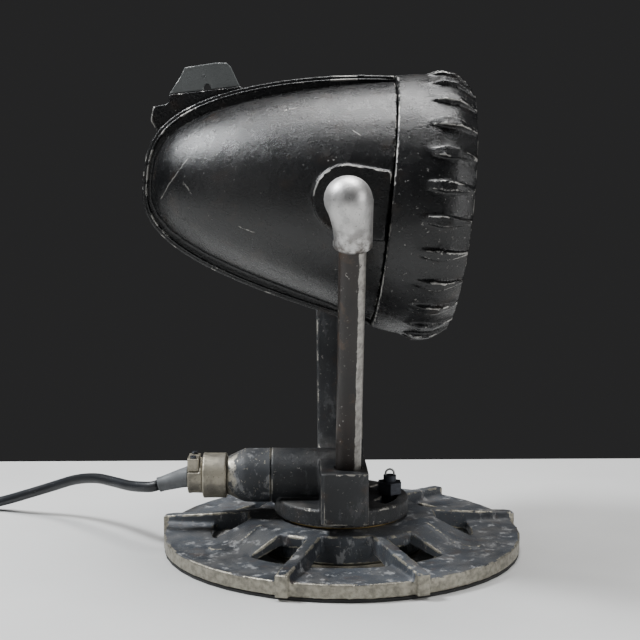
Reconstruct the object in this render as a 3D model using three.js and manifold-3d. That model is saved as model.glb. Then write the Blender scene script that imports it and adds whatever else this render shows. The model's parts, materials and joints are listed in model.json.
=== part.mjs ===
// A vintage cast fresnel spotlight: a bullet-shaped head tilts between two arms on a turret,
// the turret turns on a spoked base, and the supply lead plugs in at the turret's side.
// Millimetres, +Z up. The origin is the centre of the base on the floor, and +X is the front.
import * as THREE from "three";
import { mergeVertices } from "three/addons/utils/BufferGeometryUtils.js";
import Module from "manifold-3d";

const wasm = await Module();
wasm.setup();

// ---------------------------------------------------------------- clearances
const GAP = 0.3; // between faces that touch
const LOOSE = 0.4; // radial clearance of a turning fit
const SCREW_FIT = 0.3; // radial clearance of a screw in its hole
const PAST = 5; // how far a cutter runs past the face that it cuts

// ---------------------------------------------------------------- base
const RIM_RADIUS = 165;
const RIM_INNER = 120;
const RIM_TOP = 15.5;
const RIM_PLATE = 8;
const RIM_WALL = 15;
const PAD_HEIGHT = 2.5;
const HUB_RADIUS = 78;
const HUB_FLANGE = 86;
const HUB_WALL = 10;
const HUB_TOP = 30;
const HUB_PLATE = 8;
const WEB_DROP = 9; // thickness of the sloping web, measured upright
const COVER_HEIGHT = 3;
const RIB_WIDTH = 11.5;
const RIB_HUB_RADIUS = 70;
const RIB_HUB_TOP = 31;
const RIB_RIM_TOP = 22;
const RIB_PROUD = 4.5; // how far a rib stands out of the rim's wall
const RIB_HALF_ANGLE = 20; // between a rib and the middle of its pair
const PAIR_ANGLES = [271, 31, 151];
const FRONT_WINDOW_INNER = 80;
const SIDE_WINDOW_INNER = 88;
const SIDE_WINDOW_START = 19.4; // from the middle of the spoke, at the hub
const SIDE_WINDOW_END = 16; // the same, at the rim
const RIDGE_RISE = 2.5;
const RIDGE_RADII = [84, 138];
const RIDGE_HALF_WIDTH = 7.5;
const COVER_SCREW_RADIUS = 73; // pitch circle of the hub cover's screws
const COVER_SCREW_ANGLES = [0, 180];

// ---------------------------------------------------------------- turret
const DRUM_RADIUS = 62.5;
const DRUM_LOW = 32;
const DRUM_TOP = 48;
const BLOCK_HALF_WIDTH = 21;
const BLOCK_NEAR = -80;
const BLOCK_FAR = 18;
const BLOCK_LOW = 39;
const BLOCK_TOP = 85;
const CAVITY_HALF_WIDTH = 14;
const CAVITY_LOW = 50;
const CAVITY_TOP = 78;
const PIVOT_RADIUS = 10;
const PIVOT_HEAD = 13;
const WASHER_OUTER = 58;
const SLOT_RADIUS = 45;
const SLOT_HALF_ANGLE = 44;
const STUD_RADIUS = 6;
const NUT_RADIUS = 11.8; // across the corners
const NUT_HEIGHT = 11;
const TRUNNION_HEIGHT = 321.5;
const FAR_ARM_INNER = 114;
const FAR_ARM_OUTER = 140;
const FAR_BOSS_RADIUS = 20;
const FAR_ARM_TOP_RADIUS = 22;
const FAR_ARM_HALF_WIDTH = 22;
const FAR_ARM_WALL = 6;
const TURNED_SIDES = 36;
const BASE_SIDES = 48;

// ---------------------------------------------------------------- near arm
const ARM_TUBE_RADIUS = 12;
const ARM_TUBE_WALL = 3;
const ARM_FOOT = -52; // y of the tube's axis at the block's top
const ARM_OFFSET = 3.8; // the tube stands this far forward of the trunnion
const ARM_HEAD = -137; // y of the tube's axis at the trunnion's height
const ARM_SOCKET_DEPTH = 28;
const ELBOW_RADIUS = 19.5;
const ELBOW_LEG_RADIUS = 16.3;
const ELBOW_SHOULDER = 26; // length that narrows from the ball to the leg
const ELBOW_LEG = 41.5;
const ELBOW_INSET = 18; // from the elbow's middle to the tube's end

// ---------------------------------------------------------------- supply inlet
const INLET_X = -65;
const INLET_HEIGHT = 66;
const INLET_RADIUS = 25.5;
const INLET_BORE = 18;
const BARREL_RADIUS = 25;
const BARREL_STRAIGHT = 25;
const BARREL_LENGTH = 41;
const SPIGOT_RADIUS = 16;
const SPIGOT_BORE = 13;
const SPIGOT_LENGTH = 11;
const COUPLING_RADIUS = 21;
const COUPLING_LENGTH = 22.5;
const CLAMP_RADIUS = 16.5;
const CLAMP_LENGTH = 13.5;
const CLAMP_NECK = 11;
const CONTACT_RADIUS = 2;
const CONTACT_CIRCLE = 6;
const RELIEF_RADII = [9.5, 7];
const RELIEF_LENGTH = 29;
const RELIEF_DROOP = 16; // degrees below the horizontal

// ---------------------------------------------------------------- head
const HEAD_NOSE_DOWN = 5.5; // degrees at rest
const SEAM = 36; // from the trunnion to the lens ring's seam
const FLANGE_RADIUS = 113;
const FLANGE_LENGTH = 216.5;
const FLANGE_POWERS = [1.5, 1]; // how full the flange's upper and lower edges are
const FLANGE_HALF = 7; // half the thickness of the joined flanges
const BODY_RADIUS = 108;
const BODY_LENGTH = 208;
const BODY_POWER = 1.25; // the same for the body's sides
const BODY_POWERS = [1.05, 0.75]; // and for its top and its underside
const ROUNDING = 2.8; // the power that rounds the rear end
const SHELL_WALL = 4;
const NECK_RADIUS = 105;
const NECK_BORE = NECK_RADIUS - 6;
const NECK_LENGTH = 21;
const SPLIT_GAP = 0.7; // from the middle plane to a half shell's face
const GASKET_HALF = 0.4;
const BOSS_FACE = 108.5;
const BOSS_INNER = 95;
const SEAT_RADIUS = 24.8;
const LUG_PROUD = 0.8; // how far the lug stands out past the seat
const LUG_RADIUS = 28.5;
const LUG_TOP = 26;
const LUG_LOW = -31;
const LUG_FRONT_GAP = 1.5; // from the lug to the lens ring's seam
const NEAR_PIN_RADIUS = 8;
const FAR_PIN_RADIUS = 11;
const FAR_PIN_BORE = 7;
const BUSH_WALL = 3.6;
const BUSH_FLANGE = 6; // how far a bush's flange stands out of its sleeve
const BUSH_FLANGE_HEIGHT = 1.2;
const SHELL_SCREW_RADIUS = 2;
const SHELL_SCREW_HEAD = 4;
const SHELL_SCREWS = [
  [-20, 102.4],
  [-85, 86.7],
  [-20, -96.5],
  [-110, -70],
];

// ---------------------------------------------------------------- sight plate
const PLATE_MIDDLE = [-132.6, 84.4]; // of its lower edge, along and above the head's axis
const PLATE_SLOPE = 12.1;
const PLATE_BASE = 64;
const PLATE_HEIGHT = 23;
const PLATE_Y = [3, 11];
const PLATE_PAD_Y = 15;
const PLATE_SCREW_SPACING = 36;
const EYE_RADIUS = 3.3;
const EYE_PLACE = [2.8, 2.2];

// ---------------------------------------------------------------- lamp and optics
const LAMP_AXIS = -20;
const GLOBE_RADIUS = 30;
const CAP_RADIUS = 13.3;
const HOLDER_RADIUS = 19;
const HOLDER_TOP = -42;
const HOLDER_LOW = -62.7;
const HOLDER_RECESS = 19;
const BRACKET_TOP = -63;
const BRACKET_SHEET = 2;
const BRACKET_FRONT = 5;
const MIRROR_RADIUS = 60;
const MIRROR_APERTURE = 50;
const MIRROR_SHEET = 1.2;

// ---------------------------------------------------------------- lens ring
const RING_REAR_RADIUS = NECK_RADIUS + 8.5;
const RING_BAND_RADIUS = NECK_RADIUS + 12;
const RING_BAND_END = SEAM + 19;
const RING_CREASE_RADIUS = NECK_RADIUS + 13;
const RING_CREASE = SEAM + 43;
const RING_FRONT = SEAM + 69;
const RING_LIP_RADIUS = NECK_RADIUS + 1;
const RING_LIP_BORE = NECK_RADIUS - 5;
const RING_BORE = NECK_RADIUS - 0.8;
const RING_SIDES = 44;
const GRIP_COUNT = 26;
const GRIP_RISE = 4.5;
const GRIP_WIDTH = 10; // at its middle
const GRIP_TIP = 3; // its width at both ends
const GRIP_TURN = 0.855; // where the first grip stands, as a share of the pitch
const LENS_RADIUS = RING_BORE - 0.8;
const LENS_BACK = SEAM + 56.5;
const LENS_FLANGE = 6.5;
const LENS_STEPS = 6;
const LENS_FIRST = 24; // radius of the lens's middle zone
const LENS_LAST = 94; // radius where the steps end

// ---------------------------------------------------------------- lead
const CORD_RADIUS = 5;
const CORD_SIDES = 8;
const CORD_START = 0.6; // clear of the strain relief, which turns with the turret
const CORD_ROUTE = [
  [-187, 7, 53.5],
  [-200, 20, 51.5],
  [-215, 39, 50],
  [-238, 64, 48],
  [-263, 87, 41],
  [-290, 103, 30],
  [-317, 113, 20],
  [-342, 123, 11],
  [-362, 127, 6.4],
  [-382, 130, 5.3],
];
const COIL_CENTRE = [-420, 65];
const COIL_RADIUS = 60; // at the middle of the turns
const COIL_HALF_SECTION = 10;
const TAIL_ROUTE = [
  [-485, 27, 5.3],
  [-485, 17, 7.5],
  [-485, 6, 13],
  [-485, -4, 17.4],
  [-485, -12, 19.2],
];
const PLUG_RADIUS = 19;
const PLUG_END = -10; // y of the plug's cord end
const PLUG_LENGTH = 54;
const PLUG_PIN_RADIUS = 2.4;
const PLUG_PIN_SPACING = 19;
const PLUG_PIN_LENGTH = 19;

// ---------------------------------------------------------------- shape kit
const rad = THREE.MathUtils.degToRad;
const at = (x, y, z) => new THREE.Matrix4().makeTranslation(x, y, z);
const aboutX = (degrees) => new THREE.Matrix4().makeRotationX(rad(degrees));
const aboutY = (degrees) => new THREE.Matrix4().makeRotationY(rad(degrees));
const aboutZ = (degrees) => new THREE.Matrix4().makeRotationZ(rad(degrees));
const unit = (x, y, z) => new THREE.Vector3(x, y, z);
// Lays a shape drawn about Z so that its Z runs along X or Y.
const ALONG_X = new THREE.Matrix4().makeBasis(unit(0, 1, 0), unit(0, 0, 1), unit(1, 0, 0));
const ALONG_Y = new THREE.Matrix4().makeBasis(unit(0, 0, 1), unit(1, 0, 0), unit(0, 1, 0));
// Stands an outline drawn in XY up in XZ, with its thickness towards -Y.
const UPRIGHT = aboutX(90);
const chain = (...steps) => steps.reduce((whole, step) => whole.multiply(step), new THREE.Matrix4());

// A closed geometry as a solid that can be joined and cut.
function solid(geometry, matrix = new THREE.Matrix4()) {
  const flat = geometry.index ? geometry.toNonIndexed() : geometry;
  const bare = new THREE.BufferGeometry();
  bare.setAttribute("position", flat.getAttribute("position").clone());
  bare.applyMatrix4(matrix);
  const merged = mergeVertices(bare, 1e-4);
  const corners = merged.index.array;
  const kept = [];
  for (let i = 0; i < corners.length; i += 3) {
    const [a, b, c] = corners.slice(i, i + 3);
    if (a !== b && b !== c && c !== a) kept.push(a, b, c);
  }
  const mesh = new wasm.Mesh({
    numProp: 3,
    vertProperties: merged.attributes.position.array,
    triVerts: new Uint32Array(kept),
  });
  return new wasm.Manifold(mesh);
}

// A profile of [radius, height] points turned about Z: up the outside, then inwards and down.
function turned(profile, sides, matrix) {
  const points = profile.map(([radius, height]) => new THREE.Vector2(radius, height));
  if (points[0].x > 0) points.push(points[0].clone());
  return solid(new THREE.LatheGeometry(points, sides).rotateX(Math.PI / 2), matrix);
}

function rod(radius, low, high, sides, matrix) {
  const profile = [
    [0, low],
    [radius, low],
    [radius, high],
    [0, high],
  ];
  return turned(profile, sides, matrix);
}

function ring(outer, inner, low, high, sides, matrix) {
  const profile = [
    [inner, low],
    [outer, low],
    [outer, high],
    [inner, high],
  ];
  return turned(profile, sides, matrix);
}

function block(low, high, matrix) {
  const size = high.map((value, i) => value - low[i]);
  const middle = high.map((value, i) => (value + low[i]) / 2);
  return solid(new THREE.BoxGeometry(...size).translate(...middle), matrix);
}

function outline(points) {
  return new THREE.Shape(points.map(([x, y]) => new THREE.Vector2(x, y)));
}

// An outline given thickness along Z, from low to high.
function slab(shape, low, high, matrix = new THREE.Matrix4(), curveSegments = 10) {
  const geometry = new THREE.ExtrudeGeometry(shape, {
    depth: high - low,
    bevelEnabled: false,
    curveSegments,
  });
  return solid(geometry.translate(0, 0, low), matrix);
}

// An outline in X and Z given thickness along Y, from low to high.
const sideSlab = (shape, low, high, matrix = new THREE.Matrix4(), curveSegments = 10) =>
  slab(shape, -high, -low, chain(matrix, UPRIGHT), curveSegments);

// A round section swept along a smooth curve through points.
function swept(points, radius, sides, steps) {
  const path = new THREE.CatmullRomCurve3(points.map((p) => unit(...p)));
  const section = new THREE.Shape();
  for (let i = 0; i < sides; i += 1) {
    const angle = (2 * Math.PI * i) / sides;
    const corner = [radius * Math.cos(angle), radius * Math.sin(angle)];
    if (i === 0) section.moveTo(...corner);
    else section.lineTo(...corner);
  }
  return solid(new THREE.ExtrudeGeometry(section, { steps, extrudePath: path }));
}

function hexagon(radius, low, high, matrix) {
  return rod(radius, low, high, 6, matrix);
}

const joined = (first, ...rest) => rest.reduce((whole, next) => whole.add(next), first);
const cut = (first, ...rest) => rest.reduce((whole, next) => whole.subtract(next), first);

// A cheese-head screw with its head's underside at height 0 and its shank below.
function screw(shankRadius, headRadius, headHeight, length, matrix) {
  const sides = 12;
  const slotWidth = headRadius * 0.25;
  const head = rod(headRadius, 0, headHeight, sides, matrix);
  const shank = rod(shankRadius, -length, headHeight / 2, sides, matrix);
  const slot = block(
    [-headRadius - PAST, -slotWidth / 2, headHeight * 0.55],
    [headRadius + PAST, slotWidth / 2, headHeight + PAST],
    matrix,
  );
  return cut(joined(head, shank), slot);
}

function finish(color, roughness, metalness) {
  return new THREE.MeshStandardMaterial({ color, roughness, metalness });
}
const blackPaint = () => finish(0x17181a, 0.42, 0.2);
const wornPaint = () => finish(0x4a4f56, 0.55, 0.4);
const bareAluminium = () => finish(0xb0aea8, 0.38, 0.9);
const dullAluminium = () => finish(0x8b8880, 0.5, 0.85);
const steel = () => finish(0x6d6e70, 0.4, 0.95);
const brass = () => finish(0xa98a4c, 0.35, 0.95);
const rubber = () => finish(0x1b1b1c, 0.8, 0);
const insulation = () => finish(0x2a2320, 0.5, 0);
const ceramic = () => finish(0xe6e2d6, 0.35, 0);
const glass = () => finish(0xdfe9ea, 0.05, 0);
const mirror = () => finish(0xe4e4e2, 0.08, 1);

function add(group, name, material, body) {
  const { vertProperties, triVerts } = body.getMesh();
  const geometry = new THREE.BufferGeometry();
  geometry.setAttribute("position", new THREE.BufferAttribute(vertProperties, 3));
  geometry.setIndex(new THREE.BufferAttribute(triVerts, 1));
  geometry.computeVertexNormals();
  const mesh = new THREE.Mesh(geometry, material);
  mesh.name = name;
  group.add(mesh);
}

const polar = (radius, degrees) => [radius * Math.cos(rad(degrees)), radius * Math.sin(rad(degrees))];

// ---------------------------------------------------------------- base pieces
const SKIRT_LOW = COVER_HEIGHT + GAP;
const RIM_LOW = PAD_HEIGHT + GAP;
const HUB_UNDER = HUB_TOP - HUB_PLATE;
const RIM_UNDER = RIM_TOP - RIM_PLATE;
const STUD_HEAD = 10;

// The top of the web and rim, raised by rise, as profile points from the rim inwards.
const baseTop = (rise) => [
  [RIM_RADIUS, RIM_TOP + rise],
  [RIM_INNER, RIM_TOP + rise],
  [HUB_FLANGE, HUB_TOP + rise],
];

function windowCutter(middle, innerStart, innerEnd, outerStart, outerEnd, innerRadius) {
  const shape = new THREE.Shape();
  shape.absarc(0, 0, RIM_INNER, rad(middle + outerStart), rad(middle + outerEnd), false);
  shape.absarc(0, 0, innerRadius, rad(middle + innerEnd), rad(middle + innerStart), true);
  return slab(shape, -PAST, HUB_TOP + PAST, undefined, 3);
}

function baseRib(angle) {
  const end = RIM_RADIUS + RIB_PROUD;
  const profile = outline([
    [RIB_HUB_RADIUS, HUB_UNDER + 2],
    [HUB_RADIUS, HUB_UNDER - 8],
    [RIM_INNER, RIM_UNDER],
    [RIM_RADIUS - RIM_WALL, RIM_UNDER],
    [RIM_RADIUS - RIM_WALL, RIM_LOW],
    [end, RIM_LOW],
    [end, RIB_RIM_TOP - 1],
    [end - 1, RIB_RIM_TOP],
    [RIB_HUB_RADIUS, RIB_HUB_TOP],
  ]);
  return sideSlab(profile, -RIB_WIDTH / 2, RIB_WIDTH / 2, aboutZ(angle));
}

function spokeRidge(angle) {
  const [start, end] = RIDGE_RADII;
  const shape = new THREE.Shape();
  shape.moveTo(start, 0);
  shape.quadraticCurveTo(end - 12, -2 * RIDGE_HALF_WIDTH, end, -RIDGE_HALF_WIDTH / 2);
  shape.lineTo(end, RIDGE_HALF_WIDTH / 2);
  shape.quadraticCurveTo(end - 12, 2 * RIDGE_HALF_WIDTH, start, 0);
  const raised = [[0, RIM_UNDER], [RIM_RADIUS, RIM_UNDER], ...baseTop(RIDGE_RISE), [0, HUB_TOP + RIDGE_RISE]];
  const prism = slab(shape, RIM_UNDER + 3, HUB_TOP + PAST, aboutZ(angle), 4);
  return prism.intersect(turned(raised, TURNED_SIDES));
}

function baseCasting() {
  let body = turned(
    [
      [PIVOT_RADIUS + LOOSE, HUB_UNDER],
      [HUB_RADIUS - HUB_WALL, HUB_UNDER],
      [HUB_RADIUS - HUB_WALL, SKIRT_LOW],
      [HUB_RADIUS, SKIRT_LOW],
      [HUB_RADIUS, HUB_TOP - WEB_DROP],
      [RIM_INNER, RIM_UNDER],
      [RIM_RADIUS - RIM_WALL, RIM_UNDER],
      [RIM_RADIUS - RIM_WALL, RIM_LOW],
      [RIM_RADIUS, RIM_LOW],
      ...baseTop(0),
      [PIVOT_RADIUS + LOOSE, HUB_TOP],
    ],
    BASE_SIDES,
  );
  for (const middle of PAIR_ANGLES) {
    const half = RIB_HALF_ANGLE;
    body = cut(body, windowCutter(middle, -half, half, -half, half, FRONT_WINDOW_INNER));
    const spoke = middle + 60;
    for (const side of [-1, 1]) {
      const angles = [SIDE_WINDOW_START, 60 - half, SIDE_WINDOW_END, 60 - half].map((a) => side * a);
      const ordered = side > 0 ? angles : [angles[1], angles[0], angles[3], angles[2]];
      body = cut(body, windowCutter(spoke, ...ordered, SIDE_WINDOW_INNER));
    }
  }
  for (const middle of PAIR_ANGLES) {
    body = joined(body, baseRib(middle - RIB_HALF_ANGLE), baseRib(middle + RIB_HALF_ANGLE));
    body = joined(body, spokeRidge(middle + 60));
  }
  const studHole = rod(STUD_RADIUS + SCREW_FIT, 0, HUB_TOP + PAST, 24, at(SLOT_RADIUS, 0, 0));
  const screwHoles = COVER_SCREW_ANGLES.map((angle) =>
    rod(COVER_SCREW_SHANK + SCREW_FIT, -PAST, 12, 12, at(...polar(COVER_SCREW_RADIUS, angle), 0)),
  );
  return cut(body, studHole, ...screwHoles);
}

const COVER_SCREW_SHANK = 2;
const COVER_SCREW_HEAD = 3.6;
const COVER_SCREW_RECESS = 1.8;

function hubCover() {
  let body = rod(HUB_RADIUS - 0.5, 0, COVER_HEIGHT, 32);
  for (const angle of COVER_SCREW_ANGLES) {
    const place = at(...polar(COVER_SCREW_RADIUS, angle), 0);
    body = cut(
      body,
      rod(COVER_SCREW_SHANK + SCREW_FIT, -PAST, PAST, 12, place),
      rod(COVER_SCREW_HEAD + SCREW_FIT, -PAST, COVER_SCREW_RECESS, 16, place),
    );
  }
  return body;
}

function addBase(group) {
  add(group, "base_casting", wornPaint(), baseCasting());
  const padInner = RIM_RADIUS - RIM_WALL + 1;
  add(group, "base_pad", rubber(), ring(RIM_RADIUS - 1, padInner, 0, PAD_HEIGHT, BASE_SIDES));
  add(group, "hub_cover", dullAluminium(), hubCover());
  COVER_SCREW_ANGLES.forEach((angle, i) => {
    const place = chain(at(...polar(COVER_SCREW_RADIUS, angle), COVER_SCREW_RECESS - GAP), aboutX(180));
    const body = screw(COVER_SCREW_SHANK, COVER_SCREW_HEAD, 1.3, 9, place);
    add(group, `hub_cover_screw_${i + 1}`, steel(), body);
  });
  const washerLow = HUB_TOP + GAP;
  const washer = ring(WASHER_OUTER, PIVOT_RADIUS + 2 * LOOSE, washerLow, DRUM_LOW - GAP, 28);
  const studGap = rod(STUD_RADIUS + SCREW_FIT, 0, DRUM_TOP, 24, at(SLOT_RADIUS, 0, 0));
  add(group, "thrust_washer", brass(), cut(washer, studGap));
  addAzimuthLock(group);
}

// ---------------------------------------------------------------- azimuth lock
const NUT_LOW = DRUM_TOP + GAP;
const STUD_TOP = NUT_LOW + NUT_HEIGHT + 6;
const PIN_LOOP = 4;
const PIN_WIRE = 1;

function pinLoop(wire) {
  const loop = new THREE.TorusGeometry(PIN_LOOP, wire, 6, 12);
  const height = STUD_TOP - 2.5 + PIN_LOOP;
  return solid(loop, chain(at(SLOT_RADIUS, 0, height), UPRIGHT));
}

function addAzimuthLock(group) {
  const place = at(SLOT_RADIUS, 0, 0);
  const head = hexagon(STUD_HEAD, HUB_UNDER - GAP - 6, HUB_UNDER - GAP, place);
  const shank = rod(STUD_RADIUS, HUB_UNDER - GAP - 3, STUD_TOP, 16, place);
  add(group, "azimuth_stud", steel(), cut(joined(head, shank), pinLoop(PIN_WIRE + GAP)));
  add(group, "split_pin", steel(), pinLoop(PIN_WIRE));
  const nut = hexagon(NUT_RADIUS, NUT_LOW, NUT_LOW + NUT_HEIGHT, place);
  const bore = rod(STUD_RADIUS + LOOSE, 0, STUD_TOP + PAST, 24, place);
  add(group, "azimuth_nut", steel(), cut(nut, bore));
}

// ---------------------------------------------------------------- turret pieces
const ELBOW_FACE = BOSS_FACE + BUSH_FLANGE_HEIGHT + 2 * GAP;
const armLength = Math.hypot(ARM_HEAD - ARM_FOOT, TRUNNION_HEIGHT - BLOCK_TOP);
const armLean = THREE.MathUtils.radToDeg(Math.asin((ARM_FOOT - ARM_HEAD) / armLength));
// The near arm's own frame: its origin is the elbow's middle, and its -Z runs down the tube.
const NEAR_ARM = chain(at(ARM_OFFSET, ARM_HEAD, TRUNNION_HEIGHT), aboutX(armLean));
const TRUNNION = chain(at(0, 0, TRUNNION_HEIGHT), ALONG_Y);
const nearSide = chain(at(0, 0, TRUNNION_HEIGHT), aboutZ(180), ALONG_Y);
const INLET = chain(at(INLET_X, 0, INLET_HEIGHT), aboutY(-90));

// The leaning stretch of the far arm: its inner and outer face at the foot and at the shoulder.
const LEAN_FOOT = { inner: 32, outer: 60, height: 102 };
const LEAN_SHOULDER = { inner: FAR_ARM_INNER, outer: FAR_ARM_OUTER, height: TRUNNION_HEIGHT - 43 };

// The far arm seen from the front, as y and z, with its faces moved in by inset.
function farArmSide(inset) {
  const top = TRUNNION_HEIGHT + FAR_ARM_TOP_RADIUS;
  const foot = LEAN_FOOT;
  const shoulder = LEAN_SHOULDER;
  return outline([
    [BLOCK_FAR + inset, BLOCK_TOP - inset],
    [BLOCK_FAR + 6 + inset, BLOCK_TOP + 6 - inset],
    [foot.inner + inset, foot.height],
    [shoulder.inner + inset, shoulder.height],
    [shoulder.inner + inset, top],
    [shoulder.outer - inset, top],
    [shoulder.outer - inset, shoulder.height],
    [foot.outer - inset, foot.height],
    [foot.outer - 4 - inset, DRUM_TOP - 2 + inset],
    [BLOCK_FAR + inset, DRUM_TOP - 2 + inset],
  ]);
}

// The middle of the leaning stretch, a share of the way up from its foot.
function leanMiddle(share) {
  const mix = (low, high) => low + (high - low) * share;
  const y = (end) => (end.inner + end.outer) / 2;
  return [0, mix(y(LEAN_FOOT), y(LEAN_SHOULDER)), mix(LEAN_FOOT.height, LEAN_SHOULDER.height)];
}

// The far arm seen from the side: x and z.
function farArmFace() {
  const shape = new THREE.Shape();
  shape.moveTo(-BLOCK_HALF_WIDTH - 0.5, DRUM_TOP - 4);
  shape.lineTo(BLOCK_HALF_WIDTH + 0.5, DRUM_TOP - 4);
  shape.lineTo(BLOCK_HALF_WIDTH + 0.5, BLOCK_TOP + 5);
  shape.lineTo(FAR_ARM_HALF_WIDTH, 205);
  shape.absarc(0, TRUNNION_HEIGHT, FAR_ARM_TOP_RADIUS, 0, Math.PI, false);
  shape.lineTo(-FAR_ARM_HALF_WIDTH, 205);
  shape.lineTo(-BLOCK_HALF_WIDTH - 0.5, BLOCK_TOP + 5);
  return shape;
}

function turretCasting() {
  const drum = turned(
    [
      [0, DRUM_LOW],
      [DRUM_RADIUS, DRUM_LOW],
      [DRUM_RADIUS, DRUM_TOP - 2],
      [DRUM_RADIUS - 2, DRUM_TOP],
      [0, DRUM_TOP],
    ],
    TURNED_SIDES,
  );
  const bevel = 3;
  const half = BLOCK_HALF_WIDTH;
  const plan = outline([
    [-half, BLOCK_NEAR + bevel],
    [-half + bevel, BLOCK_NEAR],
    [half - bevel, BLOCK_NEAR],
    [half, BLOCK_NEAR + bevel],
    [half, BLOCK_FAR + PAST],
    [-half, BLOCK_FAR + PAST],
  ]);
  const pillar = slab(plan, BLOCK_LOW, BLOCK_TOP);
  const reach = Math.max(FAR_ARM_TOP_RADIUS, FAR_ARM_HALF_WIDTH) + PAST;
  const arm = slab(farArmSide(0), -reach, reach, ALONG_X).intersect(
    sideSlab(farArmFace(), 0, FAR_ARM_OUTER + PAST, undefined, 12),
  );
  const inlet = rod(INLET_RADIUS, INLET_X, 0, 32, INLET);
  const farBoss = rod(FAR_BOSS_RADIUS, ELBOW_FACE, FAR_ARM_INNER + 1, 24, TRUNNION);
  const body = joined(drum, pillar, arm, farBoss, inlet);

  const cavity = block(
    [-CAVITY_HALF_WIDTH, -PIVOT_HEAD - 1, CAVITY_LOW],
    [CAVITY_HALF_WIDTH, BLOCK_FAR + 30, CAVITY_TOP],
  );
  const channel = slab(farArmSide(FAR_ARM_WALL), -CAVITY_HALF_WIDTH, CAVITY_HALF_WIDTH, ALONG_X);
  const wideBore = rod(INLET_BORE, INLET_X + BLOCK_HALF_WIDTH + 5, PAST, 24, INLET);
  const narrowBore = rod(12, INLET_X, 0, 16, INLET);
  const pivotHole = rod(PIVOT_RADIUS + SCREW_FIT, 0, CAVITY_LOW + 1, 32);
  const slot = new THREE.Shape();
  slot.absarc(0, 0, SLOT_RADIUS + STUD_RADIUS + 1, rad(-SLOT_HALF_ANGLE), rad(SLOT_HALF_ANGLE), false);
  slot.absarc(0, 0, SLOT_RADIUS - STUD_RADIUS - 1, rad(SLOT_HALF_ANGLE), rad(-SLOT_HALF_ANGLE), true);
  const trunnionHole = rod(FAR_PIN_RADIUS + SCREW_FIT, BOSS_FACE, FAR_ARM_OUTER + PAST, 24, TRUNNION);
  const socketEnd = -armLength - ARM_SOCKET_DEPTH - GAP;
  const socket = rod(ARM_TUBE_RADIUS + SCREW_FIT, socketEnd, -armLength + 20, 24, NEAR_ARM);
  return cut(
    body,
    cavity,
    channel,
    wideBore,
    narrowBore,
    pivotHole,
    slab(slot, DRUM_LOW - PAST, DRUM_TOP + PAST),
    trunnionHole,
    socket,
    setScrewHole(),
  );
}

// The grub screw that holds the near arm's tube in the pillar.
const SET_SCREW_RADIUS = 3;
const SET_SCREW_PLACE = chain(at(ARM_OFFSET, ARM_FOOT + 4.6, BLOCK_TOP - 13), aboutY(-90));
const setScrewHole = () =>
  rod(SET_SCREW_RADIUS + SCREW_FIT, ARM_TUBE_RADIUS - 1, BLOCK_HALF_WIDTH + PAST, 16, SET_SCREW_PLACE);

function grubScrew(radius, tip, end, matrix) {
  const slot = block([-radius - 1, -0.5, end - 1.2], [radius + 1, 0.5, end + PAST], matrix);
  return cut(rod(radius, tip, end, 12, matrix), slot);
}

const ELBOW_SCREW_PLACE = chain(NEAR_ARM, at(0, 0, -ELBOW_LEG + 9), aboutY(-90));
const ELBOW_SCREW_RADIUS = 2.5;
const NEAR_PIN_END = 125;

// A quarter of a ball as a profile, standing on height.
function quarter(radius, steps, height) {
  const arc = Array.from({ length: steps }, (_, i) => {
    const angle = (Math.PI / 2) * (i / steps);
    return [radius * Math.cos(angle), height + radius * Math.sin(angle)];
  });
  return [[0, height], ...arc, [0, height + radius]];
}

function elbow() {
  const level = rod(ELBOW_RADIUS, ELBOW_FACE, -ARM_HEAD, 24, nearSide);
  const dome = turned(quarter(ELBOW_RADIUS, 7, -ARM_HEAD), 24, nearSide);
  const leg = turned(
    [
      [0, -ELBOW_LEG],
      [ELBOW_LEG_RADIUS - 2, -ELBOW_LEG],
      [ELBOW_LEG_RADIUS, -ELBOW_LEG + 2],
      [ELBOW_LEG_RADIUS, 0],
      [0, 0],
    ],
    24,
    NEAR_ARM,
  );
  // The shoulder narrows from the ball to the leg, which stands a little further forward.
  const forward = new THREE.Matrix4().makeShear(0, 0, 0, 0, -ARM_OFFSET / ELBOW_SHOULDER, 0);
  const shoulder = turned(
    [
      [0, -ELBOW_SHOULDER],
      [ELBOW_LEG_RADIUS, -ELBOW_SHOULDER],
      [(ELBOW_LEG_RADIUS + ELBOW_RADIUS) / 2, -ELBOW_SHOULDER * 0.55],
      [ELBOW_RADIUS, 0],
      [0, 0],
    ],
    24,
    chain(NEAR_ARM, at(-ARM_OFFSET, 0, 0), forward),
  );
  const socket = rod(ARM_TUBE_RADIUS + SCREW_FIT, -ELBOW_LEG - PAST, -ELBOW_INSET + GAP, 24, NEAR_ARM);
  const pinHole = rod(
    NEAR_PIN_RADIUS + SCREW_FIT,
    ELBOW_FACE - PAST,
    NEAR_PIN_END + GAP,
    16,
    nearSide,
  );
  const screwBore = ELBOW_SCREW_RADIUS + SCREW_FIT;
  const screwHole = rod(screwBore, ARM_TUBE_RADIUS - 1, ELBOW_RADIUS + PAST, 16, ELBOW_SCREW_PLACE);
  const flat = block([-30, -ELBOW_FACE, -60], [30, 0, 60], at(0, 0, TRUNNION_HEIGHT));
  return cut(joined(level, dome, leg, shoulder), flat, socket, pinHole, screwHole);
}

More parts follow.
